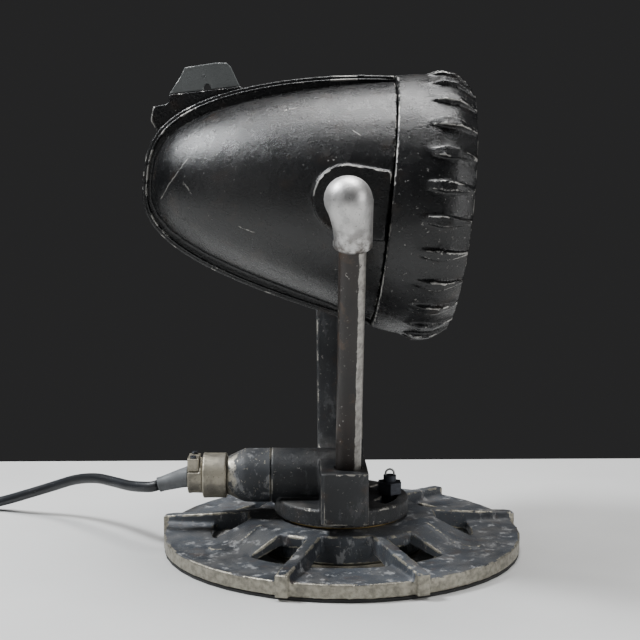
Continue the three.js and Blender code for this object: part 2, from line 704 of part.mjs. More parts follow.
function addTurret(group) {
  add(group, "turret_casting", blackPaint(), turretCasting());
  const pivotHead = rod(PIVOT_HEAD, CAVITY_LOW + GAP, CAVITY_LOW + 7, 6);
  const pivotShank = rod(PIVOT_RADIUS, COVER_HEIGHT + 3, CAVITY_LOW + 3, 32);
  add(group, "pivot_bolt", steel(), joined(pivotHead, pivotShank));
  const pivotNut = hexagon(PIVOT_RADIUS + 6.5, COVER_HEIGHT + 8, HUB_UNDER - GAP);
  add(group, "pivot_nut", steel(), cut(pivotNut, rod(PIVOT_RADIUS + SCREW_FIT, 0, HUB_TOP, 32)));

  const tubeEnd = -armLength - ARM_SOCKET_DEPTH;
  const tubeBore = ARM_TUBE_RADIUS - ARM_TUBE_WALL;
  add(group, "near_arm", blackPaint(), ring(ARM_TUBE_RADIUS, tubeBore, tubeEnd, -ELBOW_INSET, 24, NEAR_ARM));
  add(group, "near_elbow", bareAluminium(), elbow());
  const armScrew = grubScrew(SET_SCREW_RADIUS, ARM_TUBE_RADIUS + GAP, BLOCK_HALF_WIDTH, SET_SCREW_PLACE);
  add(group, "arm_set_screw", steel(), armScrew);
  const elbowScrew = grubScrew(
    ELBOW_SCREW_RADIUS,
    ARM_TUBE_RADIUS + GAP,
    ELBOW_LEG_RADIUS,
    ELBOW_SCREW_PLACE,
  );
  add(group, "elbow_set_screw", steel(), elbowScrew);

  const nearPin = joined(
    rod(NEAR_PIN_RADIUS, BOSS_INNER - GAP - 3, NEAR_PIN_END, 24, nearSide),
    rod(NEAR_PIN_RADIUS + 4, BOSS_INNER - GAP - 6, BOSS_INNER - GAP, 24, nearSide),
  );
  add(group, "near_trunnion_pin", steel(), nearPin);
  addFarTrunnion(group);
  addArmCable(group);
}

const FAR_PIN_INNER = BOSS_INNER - 12;
const LOCK_NUT = [BOSS_INNER - 8, BOSS_INNER - GAP];

function addFarTrunnion(group) {
  const headLow = FAR_ARM_OUTER + GAP;
  const head = hexagon(FAR_PIN_RADIUS + 6, headLow, headLow + 7, TRUNNION);
  const shank = rod(FAR_PIN_RADIUS, FAR_PIN_INNER, headLow + 2, 32, TRUNNION);
  const bore = rod(FAR_PIN_BORE, FAR_PIN_INNER - PAST, headLow - 4, 24, TRUNNION);
  const portY = (FAR_ARM_INNER + FAR_ARM_OUTER) / 2;
  const port = rod(5.5, -FAR_PIN_RADIUS - PAST, 0, 16, at(0, portY, TRUNNION_HEIGHT));
  add(group, "far_trunnion", steel(), cut(joined(head, shank), bore, port));
  const nut = hexagon(FAR_PIN_RADIUS + 6, LOCK_NUT[0], LOCK_NUT[1], TRUNNION);
  const nutBore = rod(FAR_PIN_RADIUS + SCREW_FIT, LOCK_NUT[0] - PAST, LOCK_NUT[1] + PAST, 32, TRUNNION);
  add(group, "tilt_lock_nut", steel(), cut(nut, nutBore));
}

const CABLE_RADIUS = 3.5;
const CABLE_SIDES = 8;

// The flex inside the hollow far arm, from the inlet to below the trunnion's port.
function addArmCable(group) {
  const middle = (FAR_ARM_INNER + FAR_ARM_OUTER) / 2;
  const route = [
    [INLET_X + 17, 0, INLET_HEIGHT],
    [INLET_X + 38, 0, INLET_HEIGHT],
    [-8, 10, INLET_HEIGHT],
    [0, 28, 74],
    leanMiddle(0),
    leanMiddle(0.3),
    leanMiddle(0.6),
    leanMiddle(0.9),
    [0, middle - 1, LEAN_SHOULDER.height + 8],
    [0, middle, TRUNNION_HEIGHT - FAR_PIN_RADIUS - 1.5],
  ];
  add(group, "arm_cable", rubber(), swept(route, CABLE_RADIUS, CABLE_SIDES, 18));
}

// ---------------------------------------------------------------- supply inlet and connector
const INSERT_FACE = BARREL_LENGTH + SPIGOT_LENGTH;
const contactPlaces = [90, 210, 330].map((angle) => polar(CONTACT_CIRCLE, angle));

function contactHoles(low, high) {
  return contactPlaces.map(([x, y]) =>
    rod(CONTACT_RADIUS + SCREW_FIT, low - PAST, high + PAST, 12, chain(INLET, at(x, y, 0))),
  );
}

function addInlet(group) {
  const barrel = turned(
    [
      [SPIGOT_BORE, -12],
      [INLET_BORE - GAP, -12],
      [INLET_BORE - GAP, GAP],
      [BARREL_RADIUS, GAP],
      [BARREL_RADIUS, BARREL_STRAIGHT],
      [SPIGOT_RADIUS + 1.5, BARREL_LENGTH - GAP],
      [SPIGOT_RADIUS, BARREL_LENGTH - GAP],
      [SPIGOT_RADIUS, INSERT_FACE],
      [SPIGOT_BORE, INSERT_FACE],
    ],
    28,
    INLET,
  );
  add(group, "inlet_barrel", dullAluminium(), barrel);
  const insertLow = INSERT_FACE - 14;
  const insert = rod(SPIGOT_BORE - GAP, insertLow, INSERT_FACE - GAP, 24, INLET);
  add(group, "inlet_insert", insulation(), cut(insert, ...contactHoles(insertLow, INSERT_FACE)));
  contactPlaces.forEach(([x, y], i) => {
    const pin = rod(CONTACT_RADIUS, insertLow - 2, INSERT_FACE + 8, 12, chain(INLET, at(x, y, 0)));
    add(group, `contact_pin_${i + 1}`, brass(), pin);
  });
}

const FLANGE_END = INSERT_FACE + 6;
const CLAMP_START = BARREL_LENGTH + COUPLING_LENGTH;
const CLAMP_END = CLAMP_START + CLAMP_LENGTH;
const SADDLE_CUT = 6; // height above the lead's axis where the clamp's saddle parts
const CORD_BORE = CORD_RADIUS + 0.5;
const SOCKET_RECESS = [10, INSERT_FACE + 10];

function addCoupling(group) {
  const bore = SPIGOT_RADIUS + LOOSE;
  const lip = CLAMP_NECK + LOOSE;
  const knurl = turned(
    [
      [bore, BARREL_LENGTH],
      [COUPLING_RADIUS - 1, BARREL_LENGTH],
      [COUPLING_RADIUS, BARREL_LENGTH + 1],
      [COUPLING_RADIUS, CLAMP_START - GAP - 1],
      [COUPLING_RADIUS - 1, CLAMP_START - GAP],
      [lip, CLAMP_START - GAP],
      [lip, FLANGE_END + LOOSE],
      [bore, FLANGE_END + LOOSE],
    ],
    28,
    INLET,
  );
  add(group, "coupling_ring", bareAluminium(), knurl);
}

function addConnector(group) {
  const [recessRadius, recessEnd] = SOCKET_RECESS;
  const shell = turned(
    [
      [0, INSERT_FACE + GAP],
      [SPIGOT_RADIUS - GAP, INSERT_FACE + GAP],
      [SPIGOT_RADIUS - GAP, FLANGE_END],
      [CLAMP_NECK, FLANGE_END],
      [CLAMP_NECK, CLAMP_START],
      [CLAMP_RADIUS, CLAMP_START],
      [CLAMP_RADIUS, CLAMP_END],
      [0, CLAMP_END],
    ],
    24,
    INLET,
  );
  const recess = rod(recessRadius, 0, recessEnd, 20, INLET);
  const bore = rod(CORD_BORE, 0, CLAMP_END + PAST, 16, INLET);
  const reach = CLAMP_RADIUS + PAST;
  const above = block([SADDLE_CUT - GAP, -reach, CLAMP_START + 2.5], [reach, reach, CLAMP_END + PAST], INLET);
  const saddleBox = block([SADDLE_CUT, -13, CLAMP_START + 2.8], [CLAMP_RADIUS + 1.5, 13, CLAMP_END], INLET);
  const screwPlaces = [-1, 1].map((side) =>
    chain(INLET, at(CLAMP_RADIUS + 1.5, side * 9.5, (CLAMP_START + 2.8 + CLAMP_END) / 2), aboutY(90)),
  );
  const holes = screwPlaces.map((place) => rod(1.5 + SCREW_FIT, -20, PAST, 12, place));
  add(group, "connector_body", bareAluminium(), cut(shell, recess, bore, above, ...holes));
  const socket = rod(recessRadius - GAP, INSERT_FACE + 2 * GAP, recessEnd - GAP, 20, INLET);
  const socketHoles = contactHoles(INSERT_FACE, INSERT_FACE + 4);
  add(group, "connector_insert", insulation(), cut(socket, ...socketHoles));
  add(group, "clamp_saddle", bareAluminium(), cut(saddleBox, bore, ...holes));
  screwPlaces.forEach((place, i) => {
    const lifted = chain(place, at(0, 0, GAP));
    add(group, `clamp_screw_${i + 1}`, steel(), screw(1.5, 2.8, 2, 16, lifted));
  });
  const [wide, narrow] = RELIEF_RADII;
  const taper = turned(
    [
      [0, -PAST],
      [wide, -PAST],
      [wide, 4],
      [narrow, RELIEF_LENGTH],
      [0, RELIEF_LENGTH],
    ],
    20,
    RELIEF_PLACE,
  );
  const inside = block([-30, -30, 0], [30, 30, CLAMP_END + GAP], INLET);
  const tail = rod(CORD_RADIUS, CLAMP_START, CLAMP_END + 4, 20, INLET);
  add(group, "strain_relief", rubber(), joined(cut(taper, inside), tail));
}

const RELIEF_PLACE = chain(INLET, at(-1, 0, CLAMP_END), aboutY(-RELIEF_DROOP));

// ---------------------------------------------------------------- lead, coil and plug
function pastRelief(distance) {
  const place = unit(0, 0, RELIEF_LENGTH + distance).applyMatrix4(RELIEF_PLACE);
  return [place.x, place.y, place.z];
}

function addLead(group) {
  const route = [pastRelief(CORD_START), pastRelief(CORD_START + 6), ...CORD_ROUTE];
  const tube = swept(route, CORD_RADIUS, CORD_SIDES, 22);
  add(group, "cord_tube", rubber(), tube);
  const inner = COIL_RADIUS - COIL_HALF_SECTION;
  const outer = COIL_RADIUS + COIL_HALF_SECTION;
  const high = 2 * COIL_HALF_SECTION;
  const coil = turned(
    [
      [inner + 3, 0],
      [outer - 3, 0],
      [outer, 3],
      [outer, high - 3],
      [outer - 3, high],
      [inner + 3, high],
      [inner, high - 3],
      [inner, 3],
    ],
    28,
    at(...COIL_CENTRE, 0),
  );
  add(group, "cord_coil", rubber(), coil);

  const plug = chain(at(TAIL_ROUTE[0][0], PLUG_END, PLUG_RADIUS + 0.2), aboutX(90));
  const body = turned(
    [
      [0, 0],
      [CORD_RADIUS + 2, 0],
      [CORD_RADIUS + 4, 16],
      [PLUG_RADIUS - 4, 24],
      [PLUG_RADIUS, 28],
      [PLUG_RADIUS, PLUG_LENGTH],
      [0, PLUG_LENGTH],
    ],
    20,
    plug,
  );
  const pins = [-1, 1].map((side) => chain(plug, at((side * PLUG_PIN_SPACING) / 2, 0, 0)));
  const pinBore = PLUG_PIN_RADIUS + GAP;
  const holes = pins.map((place) => rod(pinBore, PLUG_LENGTH - 10, PLUG_LENGTH + PAST, 12, place));
  const tail = swept(TAIL_ROUTE, CORD_RADIUS, CORD_SIDES, 6);
  add(group, "plug_body", rubber(), cut(joined(body, tail), ...holes));
  pins.forEach((place, i) => {
    const pin = rod(PLUG_PIN_RADIUS, PLUG_LENGTH - 10 + GAP, PLUG_LENGTH + PLUG_PIN_LENGTH, 12, place);
    add(group, `plug_pin_${i + 1}`, brass(), pin);
  });
}

// ---------------------------------------------------------------- head shells
// The radius of a bullet form at a distance behind the seam.
function bulletRadius(behind, radius, length, power) {
  return radius * (1 - (behind / length) ** power) ** (1 / ROUNDING);
}

// Distances behind the seam that crowd towards the rear end, where the form curves most.
function stations(length, count) {
  return Array.from({ length: count + 1 }, (_, i) => length * Math.sin((Math.PI / 2) * (i / count)) ** 0.9);
}

// The head's body, or its cavity, turned about X, with its top and underside let in towards the rear.
function bulletBody(radius, length, front) {
  const points = stations(length, 10).map((behind) => {
    const r = behind >= length ? 0 : bulletRadius(behind, radius, length, BODY_POWER);
    return new THREE.Vector2(r, SEAM - behind);
  });
  const profile = [...points.reverse(), ...front];
  const geometry = new THREE.LatheGeometry(profile, TURNED_SIDES).rotateX(Math.PI / 2).applyMatrix4(ALONG_X);
  const position = geometry.getAttribute("position");
  const last = length * 0.999; // just short of the rear end, where both radii are 0
  for (let i = 0; i < position.count; i += 1) {
    const behind = Math.min(last, Math.max(0, SEAM - position.getX(i)));
    const z = position.getZ(i);
    const power = z > 0 ? BODY_POWERS[0] : BODY_POWERS[1];
    const side = bulletRadius(behind, radius, length, BODY_POWER);
    position.setZ(i, (z * bulletRadius(behind, radius, length, power)) / side);
  }
  return solid(geometry);
}

// The flange's outline along and above the head's axis, shrunk by inset.
function flangeOutline(inset) {
  const length = FLANGE_LENGTH - inset;
  const [upper, lower] = FLANGE_POWERS.map((power, side) =>
    stations(length, 14).map((behind) => {
      const r = behind >= length ? 0 : bulletRadius(behind, FLANGE_RADIUS - inset, length, power);
      return [SEAM - behind, side === 0 ? r : -r];
    }),
  );
  return outline([...upper, ...lower.slice(0, -1).reverse()]);
}

const point = (radius, height) => new THREE.Vector2(radius, height);
const headCavity = () =>
  bulletBody(BODY_RADIUS - SHELL_WALL, BODY_LENGTH - SHELL_WALL, [
    point(NECK_BORE, SEAM),
    point(NECK_BORE, SEAM + NECK_LENGTH + PAST),
    point(0, SEAM + NECK_LENGTH + PAST),
  ]);

// The pad for the sight plate in the plate's own frame, whose X runs along its lower edge.
const PLATE_FRAME = chain(at(PLATE_MIDDLE[0], 0, PLATE_MIDDLE[1]), aboutY(-PLATE_SLOPE));

function platePad() {
  const half = PLATE_BASE / 2;
  const shape = outline([
    [-half - 14, -34],
    [half, -22],
    [half + 6, -6],
    [half + 1, -GAP],
    [-half, -GAP],
    [-half - 2, -7.5],
    [-half - 4, -8.5],
    [-half - 15.5, -9.2],
    [-half - 19.5, -21.3],
  ]);
  return sideSlab(shape, SPLIT_GAP, PLATE_PAD_Y, PLATE_FRAME);
}

const screwAlong = (x) => chain(PLATE_FRAME, at(x, (PLATE_Y[0] + PLATE_Y[1]) / 2, 0), aboutX(180));
const plateScrews = () => [-1, 1].map((side) => screwAlong((side * PLATE_SCREW_SPACING) / 2));

// The lug that carries a bush: round at the rear and straight up to the seam at the front.
function trunnionLug() {
  const front = SEAM - LUG_FRONT_GAP;
  const shape = new THREE.Shape();
  shape.moveTo(0, -LUG_RADIUS);
  shape.lineTo(front - 12, LUG_LOW);
  shape.lineTo(front - 1, LUG_LOW);
  shape.lineTo(front, LUG_TOP - 2);
  shape.lineTo(front - 2, LUG_TOP);
  shape.lineTo(0, LUG_RADIUS);
  shape.absarc(0, 0, LUG_RADIUS, Math.PI / 2, (3 * Math.PI) / 2, false);
  return sideSlab(shape, BOSS_INNER, BOSS_FACE + LUG_PROUD);
}

// One half of the head; side is -1 for the near half and 1 for the far half.
function headShell(side, pinRadius, extras) {
  const outer = bulletBody(BODY_RADIUS, BODY_LENGTH, [point(0, SEAM)]);
  const flange = sideSlab(flangeOutline(0), -FLANGE_HALF, FLANGE_HALF);
  const neck = rod(NECK_RADIUS, SEAM - 12, SEAM + NECK_LENGTH, TURNED_SIDES, ALONG_X);
  const reach = 2 * FLANGE_RADIUS; // past the head on every side
  const far = block([-reach, SPLIT_GAP, -reach], [reach, reach, reach]);
  const half = side < 0 ? far.mirror([0, 1, 0]) : far;
  const across = side < 0 ? chain(aboutZ(180), ALONG_Y) : ALONG_Y;
  const lug = side < 0 ? trunnionLug().mirror([0, 1, 0]) : trunnionLug();
  const seat = rod(SEAT_RADIUS, BOSS_FACE, BOSS_FACE + PAST, 32, across);
  const bushHole = rod(pinRadius + BUSH_WALL + GAP, BOSS_INNER - PAST, BOSS_FACE + PAST, 24, across);
  const hollow = cut(joined(outer, flange, neck, ...extras.pads), headCavity());
  const shell = joined(hollow.intersect(half), lug, ...extras.inside.map((piece) => piece.intersect(outer)));
  return cut(shell, bushHole, seat, ...extras.holes);
}

function shellScrewHoles(low, high, radius) {
  return SHELL_SCREWS.map(([x, z]) => rod(radius, low, high, 12, chain(at(x, 0, z), ALONG_Y)));
}

function addHeadShells(group) {
  const ledgeTop = BRACKET_TOP - BRACKET_SHEET - GAP;
  const ledge = block([BRACKET_FRONT - 50, -34, -BODY_RADIUS], [BRACKET_FRONT, -4, ledgeTop]);
  const threaded = shellScrewHoles(-FLANGE_HALF + 1, 0, SHELL_SCREW_RADIUS + SCREW_FIT);
  const near = headShell(-1, NEAR_PIN_RADIUS, {
    pads: [],
    inside: [ledge],
    holes: [...threaded, rod(1.5 + SCREW_FIT, -BRACKET_HOLE_DEPTH, 0, 12, BRACKET_SCREW_PLACE)],
  });
  add(group, "head_shell_near", blackPaint(), near);
  const clear = SHELL_SCREW_RADIUS + SCREW_FIT;
  const plateHoles = plateScrews().flatMap((place) => [
    rod(clear, -PAST, 60, 12, place),
    rod(SHELL_SCREW_HEAD + SCREW_FIT, PLATE_SCREW_GRIP, 60, 16, place),
  ]);
  const far = headShell(1, FAR_PIN_RADIUS, {
    pads: [platePad()],
    inside: [],
    holes: [
      ...shellScrewHoles(0, FLANGE_HALF + PAST, clear),
      ...shellScrewHoles(FLANGE_HALF, FLANGE_HALF + 12, SHELL_SCREW_HEAD + SCREW_FIT),
      ...plateHoles,
    ],
  });
  add(group, "head_shell_far", blackPaint(), far);
  const gasket = cut(
    joined(sideSlab(flangeOutline(1.5), -GASKET_HALF, GASKET_HALF), neckStrip()),
    headCavity(),
    ...shellScrewHoles(-1, 1, clear),
  );
  add(group, "shell_gasket", rubber(), gasket);
  SHELL_SCREWS.forEach(([x, z], i) => {
    const place = chain(at(x, FLANGE_HALF + GAP, z), aboutX(-90));
    const body = screw(SHELL_SCREW_RADIUS, SHELL_SCREW_HEAD, 3, 2 * FLANGE_HALF - 1.5, place);
    add(group, `shell_screw_${i + 1}`, steel(), body);
  });
}

const neckStrip = () =>
  block([SEAM - 12, -GASKET_HALF, -NECK_RADIUS + 1], [SEAM + NECK_LENGTH - 1, GASKET_HALF, NECK_RADIUS - 1]);

const PLATE_SCREW_GRIP = 10;

function addSightPlate(group) {
  const half = PLATE_BASE / 2;
  const shape = outline([
    [-half, 0],
    [half, 0],
    [half - 5.8, PLATE_HEIGHT - 5.4],
    [half - 9.2, PLATE_HEIGHT - 1.1],
    [half - 18.6, PLATE_HEIGHT],
    [17 - half, PLATE_HEIGHT - 1],
    [12.2 - half, PLATE_HEIGHT - 8.7],
  ]);
  const plate = sideSlab(shape, ...PLATE_Y, PLATE_FRAME);
  const eyePlace = chain(PLATE_FRAME, at(EYE_PLACE[0], 0, EYE_PLACE[1]), ALONG_Y);
  const eye = rod(EYE_RADIUS, 0, PLATE_PAD_Y, 16, eyePlace);
  const holes = plateScrews().map((place) => rod(SHELL_SCREW_RADIUS + SCREW_FIT, -9, PAST, 12, place));
  add(group, "sight_plate", dullAluminium(), cut(plate, eye, ...holes));
  plateScrews().forEach((place, i) => {
    const lifted = chain(place, at(0, 0, PLATE_SCREW_GRIP + GAP));
    const body = screw(SHELL_SCREW_RADIUS, SHELL_SCREW_HEAD, 3, 18, lifted);
    add(group, `plate_screw_${i + 1}`, steel(), body);
  });
}

function bush(pinRadius, matrix) {
  const bore = pinRadius + LOOSE;
  const sleeve = pinRadius + BUSH_WALL;
  const low = BOSS_FACE + GAP;
  return turned(
    [
      [bore, BOSS_INNER],
      [sleeve, BOSS_INNER],
      [sleeve, low],
      [sleeve + BUSH_FLANGE, low],
      [sleeve + BUSH_FLANGE, low + BUSH_FLANGE_HEIGHT],
      [bore, low + BUSH_FLANGE_HEIGHT],
    ],
    20,
    matrix,
  );
}

// ---------------------------------------------------------------- lamp, holder and mirror
const BRACKET_SCREW_PLACE = at(LAMP_AXIS + 2, -26, BRACKET_TOP);
const BRACKET_HOLE_DEPTH = 8;

function addLampAssembly(group) {
  const rear = LAMP_AXIS - MIRROR_RADIUS - MIRROR_SHEET - GAP;
  const footLow = BRACKET_TOP - BRACKET_SHEET;
  const foot = block([rear - BRACKET_SHEET, -32, footLow], [BRACKET_FRONT, 20, BRACKET_TOP]);
  const upright = block([rear - BRACKET_SHEET, -15, footLow], [rear, 15, 14]);
  const inside = bulletBody(BODY_RADIUS - SHELL_WALL - 1, BODY_LENGTH - SHELL_WALL - 1, [point(0, SEAM)]);
  const hole = rod(1.5 + SCREW_FIT, -PAST, PAST, 12, BRACKET_SCREW_PLACE);
  add(group, "holder_bracket", steel(), cut(joined(foot, upright).intersect(inside), hole));
  add(group, "bracket_screw", steel(), screw(1.5, 3, 2, 7, chain(BRACKET_SCREW_PLACE, at(0, 0, GAP))));

  const lampPlace = at(LAMP_AXIS, 0, 0);
  const holder = cut(
    rod(HOLDER_RADIUS, HOLDER_LOW, HOLDER_TOP, 24, lampPlace),
    rod(CAP_RADIUS + GAP, HOLDER_TOP - HOLDER_RECESS, HOLDER_TOP + PAST, 24, lampPlace),
  );
  add(group, "lampholder", ceramic(), holder);
  const capTop = HOLDER_TOP + 12;
  const capLow = HOLDER_TOP - HOLDER_RECESS + 0.5;
  const cap = turned(
    [
      [0, capLow],
      [5, capLow],
      [CAP_RADIUS, capLow + 5.5],
      [CAP_RADIUS, capTop],
      [0, capTop],
    ],
    24,
    lampPlace,
  );
  add(group, "lamp_cap", brass(), cap);
  const neckRadius = CAP_RADIUS - 1.5;
  const globe = [[0, capTop + GAP], [neckRadius, capTop + GAP]];
  const start = Math.asin(neckRadius / GLOBE_RADIUS);
  for (let i = 1; i <= 7; i += 1) {
    const angle = start + ((Math.PI - start) * i) / 7;
    globe.push([i === 7 ? 0 : GLOBE_RADIUS * Math.sin(angle), -GLOBE_RADIUS * Math.cos(angle)]);
  }
  add(group, "lamp_bulb", glass(), turned(globe, 20, lampPlace));

  const sweep = Math.asin(MIRROR_APERTURE / MIRROR_RADIUS);
  const arc = (radius, from, to) =>
    Array.from({ length: 6 }, (_, i) => {
      const angle = from + ((to - from) * i) / 5;
      const onAxis = Math.abs(angle) < 1e-9;
      return [onAxis ? 0 : radius * Math.sin(angle), -radius * Math.cos(angle)];
    });
  const dish = [...arc(MIRROR_RADIUS + MIRROR_SHEET, 0, sweep), ...arc(MIRROR_RADIUS, sweep, 0)];
  add(group, "reflector", mirror(), turned(dish, 24, chain(at(LAMP_AXIS, 0, 0), ALONG_X)));

  const route = [
    [0, FAR_PIN_INNER - 1, 0],
    [-1, 66, -6],
    [-6, 52, -24],
    [-14, 41, -42],
    [LAMP_AXIS, 29, -52],
    [LAMP_AXIS, HOLDER_RADIUS + 1, -52.5],
  ];
  add(group, "head_cable", rubber(), swept(route, CABLE_RADIUS, CABLE_SIDES, 16));
}

// ---------------------------------------------------------------- lens ring and lens
function lensRing() {
  const seat = LENS_BACK + LENS_FLANGE + 3.3;
  const neckFit = NECK_RADIUS + 2 * LOOSE;
  let body = turned(
    [
      [neckFit, SEAM + 0.5],
      [RING_REAR_RADIUS, SEAM + 0.5],
      [RING_BAND_RADIUS, RING_BAND_END - 2],
      [RING_BAND_RADIUS, RING_BAND_END],
      [RING_CREASE_RADIUS, RING_CREASE],
      [RING_CREASE_RADIUS - 1.6, RING_CREASE + 9],
      [RING_LIP_RADIUS + 6.5, RING_FRONT - 9],
      [RING_LIP_RADIUS + 2.5, RING_FRONT - 2.5],
      [RING_LIP_RADIUS, RING_FRONT],
      [RING_LIP_BORE, RING_FRONT],
      [RING_LIP_BORE, seat],
      [RING_BORE, seat],
      [RING_BORE, SEAM + NECK_LENGTH + 2],
      [neckFit, SEAM + NECK_LENGTH + 1],
    ],
    RING_SIDES,
    ALONG_X,
  );
  const crest = RING_CREASE_RADIUS + GRIP_RISE;
  const fin = outline([
    [RING_BAND_END - 1, RING_BAND_RADIUS - 3],
    [RING_CREASE - 4, crest],
    [RING_CREASE + 9, crest - 1.4],
    [RING_FRONT - 8, RING_LIP_RADIUS + 9.5],
    [RING_FRONT - 0.5, RING_LIP_RADIUS + 3.5],
    [RING_FRONT - 1, RING_LIP_RADIUS - 1],
    [RING_CREASE, RING_CREASE_RADIUS - 6],
  ]);
  const half = GRIP_WIDTH / 2;
  const tip = GRIP_TIP / 2;
  const plan = outline([
    [RING_BAND_END - 2, -tip],
    [RING_CREASE, -half],
    [RING_FRONT, -tip],
    [RING_FRONT, tip],
    [RING_CREASE, half],
    [RING_BAND_END - 2, tip],
  ]);
  const grip = sideSlab(fin, -half, half).intersect(slab(plan, 0, crest + PAST));
  for (let i = 0; i < GRIP_COUNT; i += 1) {
    const angle = (360 * (i + GRIP_TURN)) / GRIP_COUNT;
    body = joined(body, grip.rotate([angle, 0, 0]));
  }
  return body;
}

function fresnelLens() {
  const front = LENS_BACK + LENS_FLANGE;
  const profile = [
    [0, LENS_BACK],
    [LENS_RADIUS, LENS_BACK],
    [LENS_RADIUS, front],
    [LENS_LAST, front],
  ];
  const zone = (LENS_LAST - LENS_FIRST) / LENS_STEPS;
  for (let i = LENS_STEPS; i > 0; i -= 1) {
    const outer = LENS_FIRST + zone * i;
    const rise = 1.4 + 0.5 * i; // outer zones are steeper
    profile.push([outer - 0.6, front - 1.5]);
    profile.push([outer - zone, front - 1.5 + rise]);
  }
  const middle = 4;
  for (let i = 0; i < middle; i += 1) {
    const share = 1 - i / middle;
    profile.push([LENS_FIRST * share - 0.6 * share, front - 1.5 + 4 * (1 - share * share)]);
  }
  profile.push([0, front + 2.5]);
  return turned(profile, 32, ALONG_X);
}

function addLens(group) {
  add(group, "lens_ring", blackPaint(), lensRing());
  add(group, "fresnel_lens", glass(), fresnelLens());
  const front = LENS_BACK + LENS_FLANGE;
  const gasket = ring(LENS_RADIUS, LENS_LAST + 3, front + GAP, front + 3, 28, ALONG_X);
  add(group, "lens_gasket", rubber(), gasket);
  const clip = ring(RING_BORE - GAP, RING_BORE - 5, LENS_BACK - 4, LENS_BACK - GAP, 28, ALONG_X);
  add(group, "lens_clip", steel(), clip);
}

// ---------------------------------------------------------------- assembly
function addHead(group) {
  addHeadShells(group);
  addSightPlate(group);
  add(group, "near_bush", brass(), bush(NEAR_PIN_RADIUS, chain(aboutZ(180), ALONG_Y)));
  add(group, "far_bush", brass(), bush(FAR_PIN_RADIUS, ALONG_Y));
  addLampAssembly(group);
}

const base = new THREE.Group();
addBase(base);
addLead(base);

const turret = new THREE.Group();
addTurret(turret);
addInlet(turret);
addCoupling(turret);
addConnector(turret);

const head = new THREE.Group();
head.position.set(0, 0, TRUNNION_HEIGHT);
head.rotation.y = rad(HEAD_NOSE_DOWN);
addHead(head);
addLens(head);

const spotlight = new THREE.Group();
spotlight.add(base, turret, head);

export default spotlight;
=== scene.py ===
# Looks for the vintage cast spotlight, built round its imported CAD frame.
# +Z is up, +X the front and -Y the near side. Lengths are in metres, apart from the camera's lens and sensor,
# the cord's points, the voxels and the dents, which are in millimetres.
import bpy
import json
import math
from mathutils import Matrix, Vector


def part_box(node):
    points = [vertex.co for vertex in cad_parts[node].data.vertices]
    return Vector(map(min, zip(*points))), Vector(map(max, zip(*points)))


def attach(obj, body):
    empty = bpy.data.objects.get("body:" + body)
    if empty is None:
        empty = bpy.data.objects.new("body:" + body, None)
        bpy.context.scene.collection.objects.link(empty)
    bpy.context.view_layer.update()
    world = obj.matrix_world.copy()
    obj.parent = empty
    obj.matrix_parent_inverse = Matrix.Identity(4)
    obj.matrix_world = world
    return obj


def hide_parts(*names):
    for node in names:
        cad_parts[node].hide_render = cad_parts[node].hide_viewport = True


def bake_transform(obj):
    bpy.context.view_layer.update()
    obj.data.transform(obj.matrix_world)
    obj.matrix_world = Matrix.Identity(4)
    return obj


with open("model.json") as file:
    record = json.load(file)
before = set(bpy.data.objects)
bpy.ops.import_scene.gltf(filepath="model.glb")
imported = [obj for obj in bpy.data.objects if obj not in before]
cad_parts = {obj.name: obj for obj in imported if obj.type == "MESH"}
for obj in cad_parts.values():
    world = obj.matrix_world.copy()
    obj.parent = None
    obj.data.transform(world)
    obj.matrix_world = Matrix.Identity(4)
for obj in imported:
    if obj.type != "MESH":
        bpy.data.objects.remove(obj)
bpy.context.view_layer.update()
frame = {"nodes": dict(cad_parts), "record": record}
nodes = frame["nodes"]

MM = 0.001

# ---------------------------------------------------------------- camera
LENS = 67.9
SENSOR = 36
CAMERA_PLACE = (-0.044, -1.1, 0.330)
CAMERA_PITCH = 6.2  # degrees down
CAMERA_YAW = 1.25  # degrees to the right


def make_camera():
    data = bpy.data.cameras.new("camera")
    data.lens = LENS
    data.sensor_width = SENSOR
    camera = bpy.data.objects.new("camera", data)
    camera.location = CAMERA_PLACE
    camera.rotation_euler = (math.radians(90 - CAMERA_PITCH), 0, math.radians(-CAMERA_YAW))
    bpy.context.scene.collection.objects.link(camera)
    bpy.context.scene.camera = camera


make_camera()


# ---------------------------------------------------------------- mesh kit
def new_object(name, points, faces, smooth=True):
    mesh = bpy.data.meshes.new(name)
    mesh.from_pydata([tuple(p) for p in points], [], faces)
    mesh.update()
    mesh.validate()
    if smooth:
        mesh.shade_smooth()
    piece = bpy.data.objects.new(name, mesh)
    bpy.context.scene.collection.objects.link(piece)
    return piece


def tube(name, path, radius, sides):
    """A closed round tube along a path, with a frame carried along so that it doesn't twist."""
    points, faces = [], []
    across = None
    for i, here in enumerate(path):
        before, after = path[max(0, i - 1)], path[min(len(path) - 1, i + 1)]
        along = (after - before).normalized()
        if across is None:
            across = along.orthogonal().normalized()
        across = (across - along * across.dot(along)).normalized()
        other = along.cross(across)
        for k in range(sides):
            a = 2 * math.pi * k / sides
            points.append(here + (across * math.cos(a) + other * math.sin(a)) * radius)
    for i in range(len(path) - 1):
        for k in range(sides):
            m = (k + 1) % sides
            faces.append((i * sides + k, i * sides + m, (i + 1) * sides + m, (i + 1) * sides + k))
    last = (len(path) - 1) * sides
    faces.append(tuple(range(sides))[::-1])
    faces.append(tuple(last + k for k in range(sides)))
    return new_object(name, points, faces)


